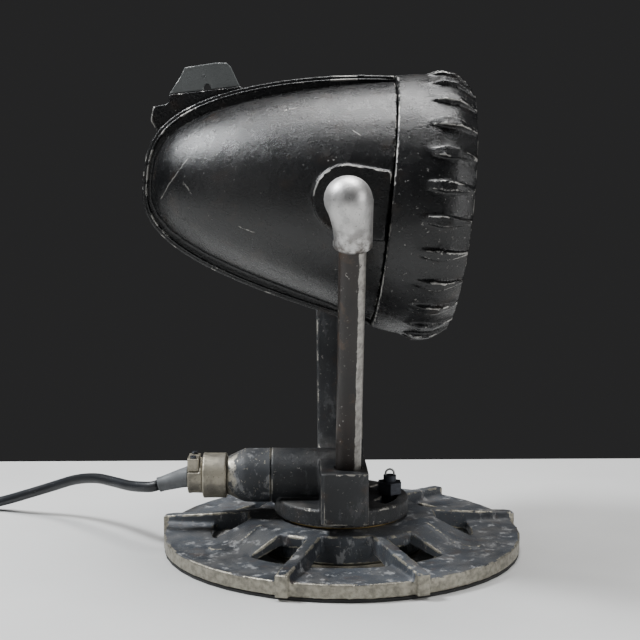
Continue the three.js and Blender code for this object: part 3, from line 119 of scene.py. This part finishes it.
def smooth_path(points, step):
    """Points on a Catmull-Rom curve through the given ones, about a step apart."""
    given = [points[0] * 2 - points[1], *points, points[-1] * 2 - points[-2]]
    path = []
    for a, b, c, d in zip(given, given[1:], given[2:], given[3:]):
        count = max(1, round((c - b).length / step))
        for i in range(count):
            t = i / count
            square = (2 * a - 5 * b + 4 * c - d) * t**2
            cube = (3 * b - a - 3 * c + d) * t**3
            path.append(0.5 * (2 * b + (c - a) * t + square + cube))
    return [*path, points[-1]]


# ---------------------------------------------------------------- cord
CORD_RADIUS = 0.005
CORD_SIDES = 16
CORD_STEP = 0.004
CORD_ROUTE = [
    (-187, 7, 53.5),
    (-200, 20, 51.5),
    (-215, 39, 50),
    (-238, 64, 48),
    (-263, 87, 41),
    (-290, 103, 30),
    (-317, 113, 20),
    (-342, 123, 11),
    (-362, 127, 6.4),
    (-382, 130, 5.3),
]
RELIEF_END = (-169.9, 0, 57.0)
PAST_RELIEF = (-176.2, 0, 55.2)
COIL_CENTRE = (-420, 65)
COIL_RADII = (65, 55)
COIL_HEIGHTS = (5.3, 15.4)
COIL_TURNS = 3.25
TURN_POINTS = 36
INWARDS = (0.861, 1.0)  # the turns over which the lay moves in, then up, then out again
UPWARDS = (1.694, 1.861)
OUTWARDS = (2.556, 2.694)
TAIL_START = (-485, 27, 5.3)
TAIL_DROP = [(-485, 55, 13.5), (-485, 45, 9.8), (-485, 36, 6.6)]  # from the upper turns to the floor


def ramp(value, low, high):
    """0 below low, 1 above high, smooth between."""
    t = min(1, max(0, (value - low) / (high - low)))
    return t * t * (3 - 2 * t)


def coil_points():
    """Flat turns side by side below, then the same above: each change of place has its own stretch."""
    outer, inner = COIL_RADII
    low, high = COIL_HEIGHTS
    points = []
    for i in range(1, round(COIL_TURNS * TURN_POINTS) + 1):
        turn = i / TURN_POINTS
        inwards = ramp(turn, *INWARDS) - ramp(turn, *OUTWARDS)
        radius = outer + (inner - outer) * inwards
        height = low + (high - low) * ramp(turn, *UPWARDS)
        angle = math.pi / 2 + 2 * math.pi * turn
        x, y = COIL_CENTRE
        points.append((x + radius * math.cos(angle), y + radius * math.sin(angle), height))
    return points


def make_cord():
    given = [RELIEF_END, PAST_RELIEF, *CORD_ROUTE, *coil_points(), *TAIL_DROP, TAIL_START]
    path = smooth_path([Vector(p) * MM for p in given], CORD_STEP)
    cord = tube("lead_cord", path, CORD_RADIUS, CORD_SIDES)
    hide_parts("cord_tube", "cord_coil")
    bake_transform(cord)
    return cord


cord = make_cord()


# ---------------------------------------------------------------- materials
SHARP_EDGES = (0.503, 0.535)  # the span of pointiness over which an edge shows
SMEAR_TONE = (0.34, 0.345, 0.35)
RUST_TONE = (0.075, 0.042, 0.022)
DUST_TONE = (0.16, 0.152, 0.14)
BEVEL_SAMPLES = 4
METAL_GRAIN = 0.0001
METAL_BEVEL = 0.0008
RUBBER_GRAIN = 0.00008
GLASS_GRAIN = 0.00006
PLAIN_BEVEL = 0.0004
COLOUR_INPUTS = (6, 7)  # of a mix node that mixes colours; its share is input 0


class Finish:
    """A material under construction: its methods add nodes and give back what comes out of them."""

    def __init__(self, name, **values):
        self.material = bpy.data.materials.new(name)
        self.material.use_nodes = True
        self.tree = self.material.node_tree
        self.shader = self.tree.nodes["Principled BSDF"]
        self.where = self.add("ShaderNodeTexCoord").outputs["Object"]
        for key, value in values.items():
            self.shader.inputs[key.replace("_", " ")].default_value = value

    def add(self, kind, inputs=(), **settings):
        node = self.tree.nodes.new(kind)
        for key, value in settings.items():
            setattr(node, key, value)
        for key, value in dict(inputs).items():
            self.put(node.inputs[key], value)
        return node

    def put(self, socket, value):
        if isinstance(value, bpy.types.NodeSocket):
            self.tree.links.new(value, socket)
        else:
            socket.default_value = value

    def sets(self, key, value):
        self.put(self.shader.inputs[key], value)

    def noise(self, scale, detail=3, roughness=0.55, stretch=(1, 1, 1), offset=0):
        """Mottling from 0 to 1, stretched along an axis and moved by an offset where asked for."""
        mapping = {"Vector": self.where, "Scale": stretch, "Location": (offset, offset, offset)}
        place = self.add("ShaderNodeMapping", mapping).outputs["Vector"]
        values = {"Vector": place, "Scale": scale, "Detail": detail, "Roughness": roughness}
        return self.add("ShaderNodeTexNoise", values).outputs["Fac"]

    def span(self, value, low, high):
        """0 below low, 1 above high, smooth between; the other way round if low is above high."""
        values = {"Value": value, "From Min": low, "From Max": high}
        if low > high:
            values = {"Value": value, "From Min": high, "From Max": low, "To Min": 1.0, "To Max": 0.0}
        return self.add("ShaderNodeMapRange", values, interpolation_type="SMOOTHSTEP").outputs["Result"]

    def math(self, operation, *values):
        return self.add("ShaderNodeMath", dict(enumerate(values)), operation=operation).outputs[0]

    def total(self, *values):
        whole = values[0]
        for value in values[1:]:
            whole = self.math("ADD", whole, value)
        return whole

    def times(self, a, b):
        return self.math("MULTIPLY", a, b)

    def mix(self, share, a, b):
        """The colour a where the share is 0, and b where it is 1."""
        node = self.add("ShaderNodeMix", {0: share}, data_type="RGBA")
        for index, colour in zip(COLOUR_INPUTS, (a, b)):
            given = isinstance(colour, bpy.types.NodeSocket)
            self.put(node.inputs[index], colour if given else (*colour, 1))
        return node.outputs[2]

    def blend(self, share, a, b):
        """The value a where the share is 0, and b where it is 1."""
        return self.add("ShaderNodeMix", {0: share, 2: a, 3: b}).outputs[0]

    def axis(self, vector, index):
        return self.add("ShaderNodeSeparateXYZ", {0: vector}).outputs[index]

    def place(self, index):
        return self.axis(self.where, index)

    def facing(self, index):
        return self.axis(self.add("ShaderNodeNewGeometry").outputs["Normal"], index)

    def rounded(self, radius):
        return self.add("ShaderNodeBevel", {"Radius": radius}, samples=BEVEL_SAMPLES).outputs["Normal"]

    def edges(self):
        """1 on convex edges and 0 on open faces, read from the mesh, so it needs a dense one."""
        sharp = self.add("ShaderNodeNewGeometry").outputs["Pointiness"]
        return self.span(sharp, *SHARP_EDGES)

    def bump(self, height, distance, normal=None):
        values = {"Height": height, "Distance": distance, "Strength": 1.0}
        if normal is not None:
            values["Normal"] = normal
        return self.add("ShaderNodeBump", values).outputs["Normal"]


def painted_metal(
    name,
    paint,
    light,
    metal,
    wear,
    dust,
    rough=0.42,
    grain=0.00012,
    blotch=0.0,
    rust=0.0,
    extra=None,
):
    """Paint over metal: bare along edges in stretches, chipped, grainy, and dusty where it faces up."""
    f = Finish(name)
    broad = f.noise(16, 4)
    patch = f.noise(75, 8, 0.68, offset=3)
    chips = f.noise(330, 5, 0.6, offset=7)
    fine = f.noise(1500, 2, 0.5)
    broken = f.span(f.noise(42, 7, 0.7, offset=17), 0.40, 0.60)
    edge = f.times(f.edges(), f.total(0.25, f.times(broken, 0.75)))
    parts = [f.times(edge, 0.62), f.times(patch, 0.75)]
    if extra:
        parts.append(extra(f))
    worn = f.span(f.total(*parts), 1.0 - 0.32 * wear, 1.06 - 0.32 * wear)
    flecks = f.span(chips, 0.71 - 0.07 * wear, 0.73 - 0.07 * wear)
    bare = f.math("MAXIMUM", worn, f.times(flecks, f.span(broad, 0.38, 0.6)))
    tone = f.mix(f.span(broad, 0.35, 0.7), paint, light)
    smears = f.times(f.span(f.noise(85, 9, 0.72, stretch=(1, 1, 0.5), offset=23), 0.54, 0.62), blotch)
    tone = f.mix(smears, tone, SMEAR_TONE)
    brown = f.times(f.span(f.noise(58, 7, 0.66, offset=31), 0.54, 0.68), rust)
    tone = f.mix(brown, tone, RUST_TONE)
    up = f.span(f.facing(2), 0.25, 0.95)
    film = f.times(f.times(up, f.span(f.noise(38, 6, 0.62, offset=11), 0.38, 0.72)), dust)
    tone = f.mix(film, tone, DUST_TONE)
    metal_tone = f.mix(f.span(f.noise(210, 5), 0.3, 0.75), metal, [c * 0.5 for c in metal])
    f.sets("Base Color", f.mix(bare, tone, metal_tone))
    f.sets("Metallic", f.times(bare, 0.75))
    paint_rough = f.total(rough - 0.12, f.times(patch, 0.24), f.times(film, 0.5), f.times(smears, 0.25))
    f.sets("Roughness", f.blend(bare, paint_rough, f.total(0.3, f.times(f.noise(420, 4), 0.3))))
    height = f.total(f.times(fine, 0.8), f.times(f.noise(620, 3), 1.5), f.times(bare, -0.9))
    f.sets("Normal", f.bump(height, grain))
    return f.material


def bare_metal(name, light, dark, rough, stain=None, stain_mask=None):
    """Bare metal with dull patches, fine pitting and, where asked for, stains."""
    f = Finish(name, Metallic=0.9)
    patch = f.noise(60, 7, 0.62)
    tone = f.mix(f.span(patch, 0.38, 0.66), light, dark)
    pits = f.span(f.noise(600, 4, offset=5), 0.62, 0.7)
    tone = f.mix(f.times(pits, 0.6), tone, [c * 0.3 for c in dark])
    if stain:
        spread = f.times(stain_mask(f), f.span(f.noise(120, 7, 0.66, offset=9), 0.36, 0.6))
        tone = f.mix(spread, tone, stain)
    f.sets("Base Color", tone)
    f.sets("Roughness", f.total(rough - 0.08, f.times(f.noise(260, 5), 0.3)))
    height = f.total(f.noise(900, 3), f.times(pits, -1.0))
    f.sets("Normal", f.bump(height, METAL_GRAIN, f.rounded(METAL_BEVEL)))
    return f.material


def rubber(name, colour, speck, amount, rough=0.6):
    """Rubber with pale specks of dirt and wear."""
    f = Finish(name)
    specks = f.times(f.span(f.noise(620, 5, 0.6), 0.66, 0.72), amount)
    tone = f.mix(f.span(f.noise(45, 5), 0.35, 0.7), colour, [c * 1.9 for c in colour])
    f.sets("Base Color", f.mix(specks, tone, speck))
    f.sets("Roughness", f.total(rough - 0.1, f.times(f.noise(150, 4), 0.25)))
    f.sets("Normal", f.bump(f.noise(1100, 3), RUBBER_GRAIN))
    return f.material


def glassy(name, colour, rough):
    """Clear glass with faint smears."""
    f = Finish(name, IOR=1.5, Transmission_Weight=1.0)
    f.sets("Base Color", f.mix(f.noise(25, 3), colour, [c * 0.93 for c in colour]))
    f.sets("Roughness", f.total(rough, f.times(f.span(f.noise(90, 5), 0.5, 0.8), 0.1)))
    f.sets("Normal", f.bump(f.noise(60, 2), GLASS_GRAIN))
    return f.material


def plain(name, colour, rough, metallic=0.0, grain=0.00004):
    """Ceramic, mouldings and plated parts: an even finish with slight mottling."""
    f = Finish(name, Metallic=metallic)
    f.sets("Base Color", f.mix(f.span(f.noise(55, 5), 0.3, 0.75), colour, [c * 0.7 for c in colour]))
    f.sets("Roughness", f.total(rough - 0.05, f.times(f.noise(180, 4), 0.14)))
    f.sets("Normal", f.bump(f.noise(800, 2), grain, f.rounded(PLAIN_BEVEL)))
    return f.material


RIM_BAND = (0.1635, 0.1645)  # from the paint to the bare wall, out from the middle


def rim_wall(f):
    """The bare band round the base's outer wall."""
    x, y = f.place(0), f.place(1)
    radius = f.math("SQRT", f.total(f.times(x, x), f.times(y, y)))
    outside = f.span(radius, *RIM_BAND)
    upright = f.span(f.facing(2), 0.5, 0.3)
    streaks = f.noise(30, 6, 0.7, stretch=(1, 1, 6), offset=41)
    return f.times(f.times(outside, upright), f.total(0.46, f.times(streaks, 0.15)))


SCRATCH_WIDTH = 0.0007
SCRATCH_WANDER = 0.006
SCRATCH_FADE = 0.006  # the length over which each end tapers out


def scratch(f, start, end):
    """A ragged line on the near side, from start to end in x and z."""
    (x0, z0), (x1, z1) = start, end
    length = math.hypot(x1 - x0, z1 - z0)
    tx, tz = (x1 - x0) / length, (z1 - z0) / length
    x, z = f.total(f.place(0), -x0), f.total(f.place(2), -z0)
    along = f.total(f.times(x, tx), f.times(z, tz))
    wander = f.times(f.total(f.noise(60, 4, offset=x0 * 50), -0.5), SCRATCH_WANDER)
    off = f.math("ABSOLUTE", f.total(f.times(x, -tz), f.times(z, tx), wander))
    inside = f.times(f.span(along, 0, SCRATCH_FADE), f.span(along, length, length - SCRATCH_FADE))
    near = f.span(f.place(1), -0.01, -0.02)
    ragged = f.span(f.noise(240, 4, offset=z0 * 70), 0.36, 0.46)
    line = f.span(off, SCRATCH_WIDTH, SCRATCH_WIDTH * 0.4)
    return f.times(f.times(f.times(line, inside), near), ragged)


# Each scratch on the head's near side, from one end to the other, in x and z.
SCRATCHES = [
    ((-0.132, 0.359), (-0.163, 0.318)),
    ((-0.140, 0.340), (-0.128, 0.322)),
    ((-0.060, 0.395), (-0.036, 0.401)),
    ((-0.095, 0.300), (-0.070, 0.291)),
    ((0.002, 0.382), (0.016, 0.371)),
]


def head_scratches(f):
    """All the scratches of the head together."""
    return f.times(f.total(*[scratch(f, *ends) for ends in SCRATCHES]), 0.6)


CONE = (-0.088, -0.100)  # from the barrel to the coupling, along x
ELBOW_STAIN = (0.312, 0.27)  # from clean to stained, in height


def right_strip(f):
    """The tube's front side, rubbed bare, and less so its back edge."""
    front = f.span(f.facing(0), 0.2, 0.5)
    back = f.span(f.facing(0), -0.6, -0.9)
    return f.total(f.times(front, 0.5), f.times(back, 0.25))


def barrel_end(f):
    """The inlet's cone, rubbed bare towards the coupling."""
    return f.times(f.span(f.place(0), *CONE), 0.3)


def low_stain(f):
    """The elbow's lower end, stained more and more down to the tube."""
    return f.span(f.place(2), *ELBOW_STAIN)


# Each painted finish has its paint, the paint's lighter patches, and the metal below.
BLACK = (0.0045, 0.0047, 0.0052)
BLACK_LIGHT = (0.010, 0.0102, 0.011)
BLUE_GREY = (0.026, 0.030, 0.037)
BLUE_GREY_LIGHT = (0.08, 0.09, 0.105)
CREAM = (0.50, 0.46, 0.37)

finishes = {
    "worn_paint_casting": painted_metal(
        "worn_paint_casting",
        BLUE_GREY,
        BLUE_GREY_LIGHT,
        (0.40, 0.375, 0.31),
        wear=1.05,
        dust=0.4,
        blotch=0.75,
        rust=0.35,
        grain=0.0003,
        extra=rim_wall,
    ),
    "black_paint_casting": painted_metal(
        "black_paint_casting",
        BLACK,
        BLACK_LIGHT,
        (0.36, 0.35, 0.33),
        wear=0.42,
        rough=0.27,
        grain=0.00026,
        dust=0.05,
        rust=0.12,
        extra=head_scratches,
    ),
    "black_paint_steel": painted_metal(
        "black_paint_steel",
        (0.009, 0.007, 0.006),
        (0.022, 0.015, 0.012),
        (0.46, 0.44, 0.41),
        wear=0.85,
        dust=0.05,
        rust=0.6,
        extra=right_strip,
    ),
    "bare_aluminium": bare_metal("bare_aluminium", CREAM, (0.27, 0.25, 0.21), rough=0.46),
    "bright_aluminium": bare_metal(
        "bright_aluminium",
        (0.62, 0.61, 0.6),
        (0.43, 0.425, 0.42),
        rough=0.4,
        stain=(0.06, 0.045, 0.035),
        stain_mask=low_stain,
    ),
    "grey_aluminium": painted_metal(
        "grey_aluminium",
        (0.10, 0.108, 0.108),
        (0.15, 0.16, 0.16),
        (0.34, 0.34, 0.33),
        wear=0.35,
        dust=0.2,
    ),
    "dark_steel": bare_metal("dark_steel", (0.085, 0.09, 0.105), (0.035, 0.038, 0.045), rough=0.42),
    "bright_steel": bare_metal("bright_steel", (0.5, 0.5, 0.5), (0.3, 0.3, 0.3), rough=0.32),
    "worn_brass": bare_metal("worn_brass", (0.5, 0.36, 0.15), (0.25, 0.17, 0.07), rough=0.35),
    "black_rubber": rubber("black_rubber", (0.012, 0.012, 0.012), (0.2, 0.2, 0.2), 0.25),
    "grey_rubber": rubber("grey_rubber", (0.10, 0.105, 0.11), (0.4, 0.4, 0.4), 0.5),
    "cord_rubber": rubber("cord_rubber", (0.008, 0.009, 0.011), (0.45, 0.45, 0.45), 0.7, 0.42),
    "dark_insulation": plain("dark_insulation", (0.03, 0.02, 0.016), 0.45),
    "white_ceramic": plain("white_ceramic", (0.78, 0.76, 0.7), 0.22),
    "clear_glass": glassy("clear_glass", (0.93, 0.95, 0.95), 0.02),
    "lens_glass": glassy("lens_glass", (0.88, 0.93, 0.91), 0.04),
    "mirror_metal": plain("mirror_metal", (0.84, 0.84, 0.83), 0.12, metallic=1.0, grain=0.00002),
}

# Finishes of single pieces, in place of their slots' ones.
worn_turret = painted_metal(
    "worn_turret",
    (0.014, 0.015, 0.017),
    (0.032, 0.034, 0.037),
    (0.42, 0.40, 0.36),
    wear=0.85,
    rough=0.42,
    dust=0.4,
    blotch=0.12,
    rust=0.3,
    grain=0.0003,
)
worn_ring = painted_metal(
    "worn_ring",
    BLACK,
    BLACK_LIGHT,
    (0.42, 0.41, 0.39),
    wear=0.85,
    rough=0.27,
    dust=0.08,
    rust=0.1,
    grain=0.00026,
)
chipped_barrel = painted_metal(
    "chipped_barrel",
    (0.03, 0.033, 0.039),
    (0.06, 0.064, 0.07),
    (0.46, 0.43, 0.36),
    wear=1.2,
    rough=0.5,
    dust=0.3,
    blotch=0.6,
    extra=barrel_end,
)


# ---------------------------------------------------------------- worn castings
CAST_VOXELS = {
    "base_casting": 1.5,
    "turret_casting": 1.1,
    "head_shell_near": 1.1,
    "head_shell_far": 1.1,
    "lens_ring": 1.1,
    "near_elbow": 0.7,
    "near_arm": 0.9,
    "sight_plate": 0.6,
    "inlet_barrel": 0.7,
    "coupling_ring": 0.7,
    "connector_body": 0.7,
    "clamp_saddle": 0.6,
    "strain_relief": 0.6,
}
DENTS = {
    "base_casting": 0.5,
    "turret_casting": 0.4,
    "head_shell_near": 0.18,
    "head_shell_far": 0.18,
    "lens_ring": 0.3,
}
DENT_SPREAD = 0.022
DENT_DEPTH = 2
DENT_LEVEL = 0.95  # nearly all inwards, so that the running gaps stay open
RELAX_FACTOR = 0.5
RELAX_STEPS = 4
ANGLE_STEPS = 3
FLAT_ANGLES = (0.045, 0.10)  # between faces: even out below the first, leave alone above the second
EVEN_STEPS = 70
WELD_DISTANCE = 1e-5
EDGE_ANGLE = math.radians(32)


def even_out_group():
    """A node group that smooths a dense mesh where it is nearly flat, and leaves its real edges."""
    group = bpy.data.node_groups.new("even_out", "GeometryNodeTree")
    for way in ("INPUT", "OUTPUT"):
        group.interface.new_socket("Geometry", in_out=way, socket_type="NodeSocketGeometry")

    def add(kind, links=(), **settings):
        node = group.nodes.new(kind)
        for key, value in settings.items():
            setattr(node, key, value)
        for key, value in dict(links).items():
            if isinstance(value, bpy.types.NodeSocket):
                group.links.new(value, node.inputs[key])
            else:
                node.inputs[key].default_value = value
        return node

    start, end = add("NodeGroupInput"), add("NodeGroupOutput")
    angle = add("GeometryNodeInputMeshEdgeAngle").outputs["Unsigned Angle"]
    spread = add("GeometryNodeBlurAttribute", {"Value": angle, "Iterations": ANGLE_STEPS}, data_type="FLOAT")
    flat = add(
        "ShaderNodeMapRange",
        {"Value": spread.outputs[0], "From Min": FLAT_ANGLES[1], "From Max": FLAT_ANGLES[0]},
        interpolation_type="SMOOTHSTEP",
    )
    place = add("GeometryNodeInputPosition").outputs[0]
    blur = add(
        "GeometryNodeBlurAttribute",
        {"Value": place, "Iterations": EVEN_STEPS, "Weight": flat.outputs["Result"]},
        data_type="FLOAT_VECTOR",
    )
    moved = add("GeometryNodeSetPosition", {"Geometry": start.outputs[0], "Position": blur.outputs[0]})
    group.links.new(moved.outputs[0], end.inputs[0])
    return group


even_out = even_out_group()


def cast_form(part, voxel, dents):
    """Worn rounded edges and slight dents, as on a real casting, made by modifiers."""
    remesh = part.modifiers.new("remesh", "REMESH")
    remesh.mode = "VOXEL"
    remesh.voxel_size = voxel * MM
    remesh.use_smooth_shade = True
    relax = part.modifiers.new("relax", "SMOOTH")
    relax.factor = RELAX_FACTOR
    relax.iterations = RELAX_STEPS
    part.modifiers.new("even_out", "NODES").node_group = even_out
    if dents:
        texture = bpy.data.textures.new("dents_" + part.name, "CLOUDS")
        texture.noise_scale = DENT_SPREAD
        texture.noise_depth = DENT_DEPTH
        displace = part.modifiers.new("dents", "DISPLACE")
        displace.texture = texture
        displace.texture_coords = "LOCAL"
        displace.strength = dents * MM
        displace.mid_level = DENT_LEVEL


def dress_nodes():
    """Each CAD node gets its slot's finish; castings get a worn form, the rest crisp shading."""
    for row in frame["record"]["subparts"]:
        part = nodes[row["node"]]
        part.data.materials.clear()
        part.data.materials.append(finishes[row["material_slot"]])
        if "custom_normal" in part.data.attributes:
            part.data.attributes.remove(part.data.attributes["custom_normal"])
        part.data.shade_smooth()
        weld = part.modifiers.new("weld", "WELD")
        weld.merge_threshold = WELD_DISTANCE
        if part.name in CAST_VOXELS:
            cast_form(part, CAST_VOXELS[part.name], DENTS.get(part.name))
        else:
            split = part.modifiers.new("edges", "EDGE_SPLIT")
            split.split_angle = EDGE_ANGLE
    nodes["inlet_barrel"].data.materials[0] = chipped_barrel
    nodes["turret_casting"].data.materials[0] = worn_turret
    nodes["lens_ring"].data.materials[0] = worn_ring
    cord.data.materials.append(finishes["cord_rubber"])


dress_nodes()


# ---------------------------------------------------------------- details on the head
TRUNNION = Vector((0, 0, 0.3215))
NOSE_DOWN = math.radians(5.5)
SEAM = 0.036  # from the trunnion to the lens ring's seam
FLANGE_RADIUS = 0.113
FLANGE_LENGTH = 0.2165
FLANGE_POWERS = (1.5, 1.0)  # of the flange's upper and lower edges
FLANGE_FACE = 0.007  # from the head's middle plane
ROUNDING = 2.8
EDGE_STEPS = 40
EDGE_CROWDING = 0.9  # below 1 it sets the edge's points closer together at the rear end
BEAD_INSET = 0.0045
BEAD_GAP = 0.001  # between the bead's front end and the seam
BEAD_SHORTENING = 0.995
BEAD_RADIUS = 0.0011
BEAD_SIDES = 8
BEAD_LIFT = 0.0001  # of its middle line off the flange's face
PLATE_MIDDLE = (-0.1326, 0.0844)  # of the sight plate's lower edge, along and above the head's axis
PLATE_SLOPE = math.radians(12.1)
MARK_PLACE = (0.0012, 0.0122)  # the mark's middle, along and above the plate's lower edge
MARK_RADIUS = 0.0015
MARK_STEPS = 24
MARK_LINE_RADIUS = 0.0003
MARK_SIDES = 6
MARK_LIFT = 0.00005  # of its middle line off the plate's face


def in_head(along, side, above):
    """A point given along and above the head's own axis, at rest."""
    c, s = math.cos(NOSE_DOWN), math.sin(NOSE_DOWN)
    return TRUNNION + Vector((along * c + above * s, side, above * c - along * s))


def flange_edge(power, sign):
    """Points inside the flange's edge, along and above the head's axis, from the rear end to the seam."""
    length, radius = FLANGE_LENGTH - BEAD_INSET, FLANGE_RADIUS - BEAD_INSET
    points = []
    for i in range(EDGE_STEPS + 1):
        behind = length * math.cos(math.pi / 2 * i / EDGE_STEPS) ** EDGE_CROWDING
        height = radius * max(0.0, 1 - (behind / length) ** power) ** (1 / ROUNDING)
        points.append((SEAM - BEAD_GAP - behind * BEAD_SHORTENING, sign * height))
    return points


def add_bead(side, name):
    """A raised bead line that follows the flange's edge on one side of the head."""
    upper = flange_edge(FLANGE_POWERS[0], 1)
    lower = flange_edge(FLANGE_POWERS[1], -1)
    edge = [*lower[:0:-1], *upper]
    path = [in_head(u, side * (FLANGE_FACE + BEAD_LIFT), v) for u, v in edge]
    bead = tube(name, path, BEAD_RADIUS, BEAD_SIDES)
    bead.data.materials.append(finishes["black_paint_casting"])
    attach(bead, "head")


add_bead(-1, "flange_bead_near")
add_bead(1, "flange_bead_far")


def add_plate_mark():
    """A small punched ring on the sight plate's near face, open by one step."""
    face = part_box("sight_plate")[0].y
    c, s = math.cos(PLATE_SLOPE), math.sin(PLATE_SLOPE)
    path = []
    for i in range(MARK_STEPS):
        angle = 2 * math.pi * i / MARK_STEPS
        x = MARK_PLACE[0] + MARK_RADIUS * math.cos(angle)
        z = MARK_PLACE[1] + MARK_RADIUS * math.sin(angle)
        along = PLATE_MIDDLE[0] + x * c - z * s
        above = PLATE_MIDDLE[1] + x * s + z * c
        path.append(in_head(along, face - MARK_LIFT, above))
    mark = tube("sight_plate_mark", path, MARK_LINE_RADIUS, MARK_SIDES)
    mark.data.materials.append(finishes["grey_aluminium"])
    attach(mark, "head")


add_plate_mark()


# ---------------------------------------------------------------- stage and light
FLOOR_EDGE = 0.35  # where the floor ends on the far side
FLOOR_FRONT = -4.0
FLOOR_SIDE = 4.0
AIM = (0, 0, 0.25)
# Each light's name, place, size, power and colour.
LIGHTS = [
    ("top", (0.15, 0.15, 1.6), (1.0, 0.6), 30, (1, 1, 1)),
    ("rear", (-1.0, 0.05, 1.5), (0.4, 0.4), 40, (0.95, 0.975, 1.0)),
    ("left", (-1.3, -1.3, 0.7), (0.3, 0.9), 3, (1, 1, 1)),
    ("right", (1.3, -0.75, 0.6), (0.25, 0.9), 8, (1, 1, 1)),
]
BACKGROUND = (0.024, 0.024, 0.0245, 1)


def stage_paint(name, colour, rough):
    """An even pale surface with faint mottling."""
    f = Finish(name)
    f.sets("Base Color", f.mix(f.span(f.noise(6, 5), 0.3, 0.8), colour, [c * 0.93 for c in colour]))
    f.sets("Roughness", f.total(rough, f.times(f.noise(40, 3), 0.1)))
    return f.material


def make_stage():
    front = [(-FLOOR_SIDE, FLOOR_FRONT, 0), (FLOOR_SIDE, FLOOR_FRONT, 0)]
    back = [(FLOOR_SIDE, FLOOR_EDGE, 0), (-FLOOR_SIDE, FLOOR_EDGE, 0)]
    floor = new_object("floor", [*front, *back], [(0, 1, 2, 3)], smooth=False)
    floor.data.materials.append(stage_paint("pale_floor", (0.62, 0.62, 0.61), 0.75))


def area_light(name, place, size, power, colour):
    """A rectangular lamp that shines at the object's middle."""
    data = bpy.data.lights.new(name, "AREA")
    data.shape = "RECTANGLE"
    data.size, data.size_y = size
    data.energy = power
    data.color = colour
    light = bpy.data.objects.new(name, data)
    light.location = place
    light.rotation_euler = (Vector(AIM) - Vector(place)).to_track_quat("-Z", "Y").to_euler()
    bpy.context.scene.collection.objects.link(light)


def make_light():
    for row in LIGHTS:
        area_light(*row)
    world = bpy.data.worlds.new("world")
    world.use_nodes = True
    world.node_tree.nodes["Background"].inputs["Color"].default_value = BACKGROUND
    bpy.context.scene.world = world


make_stage()
make_light()
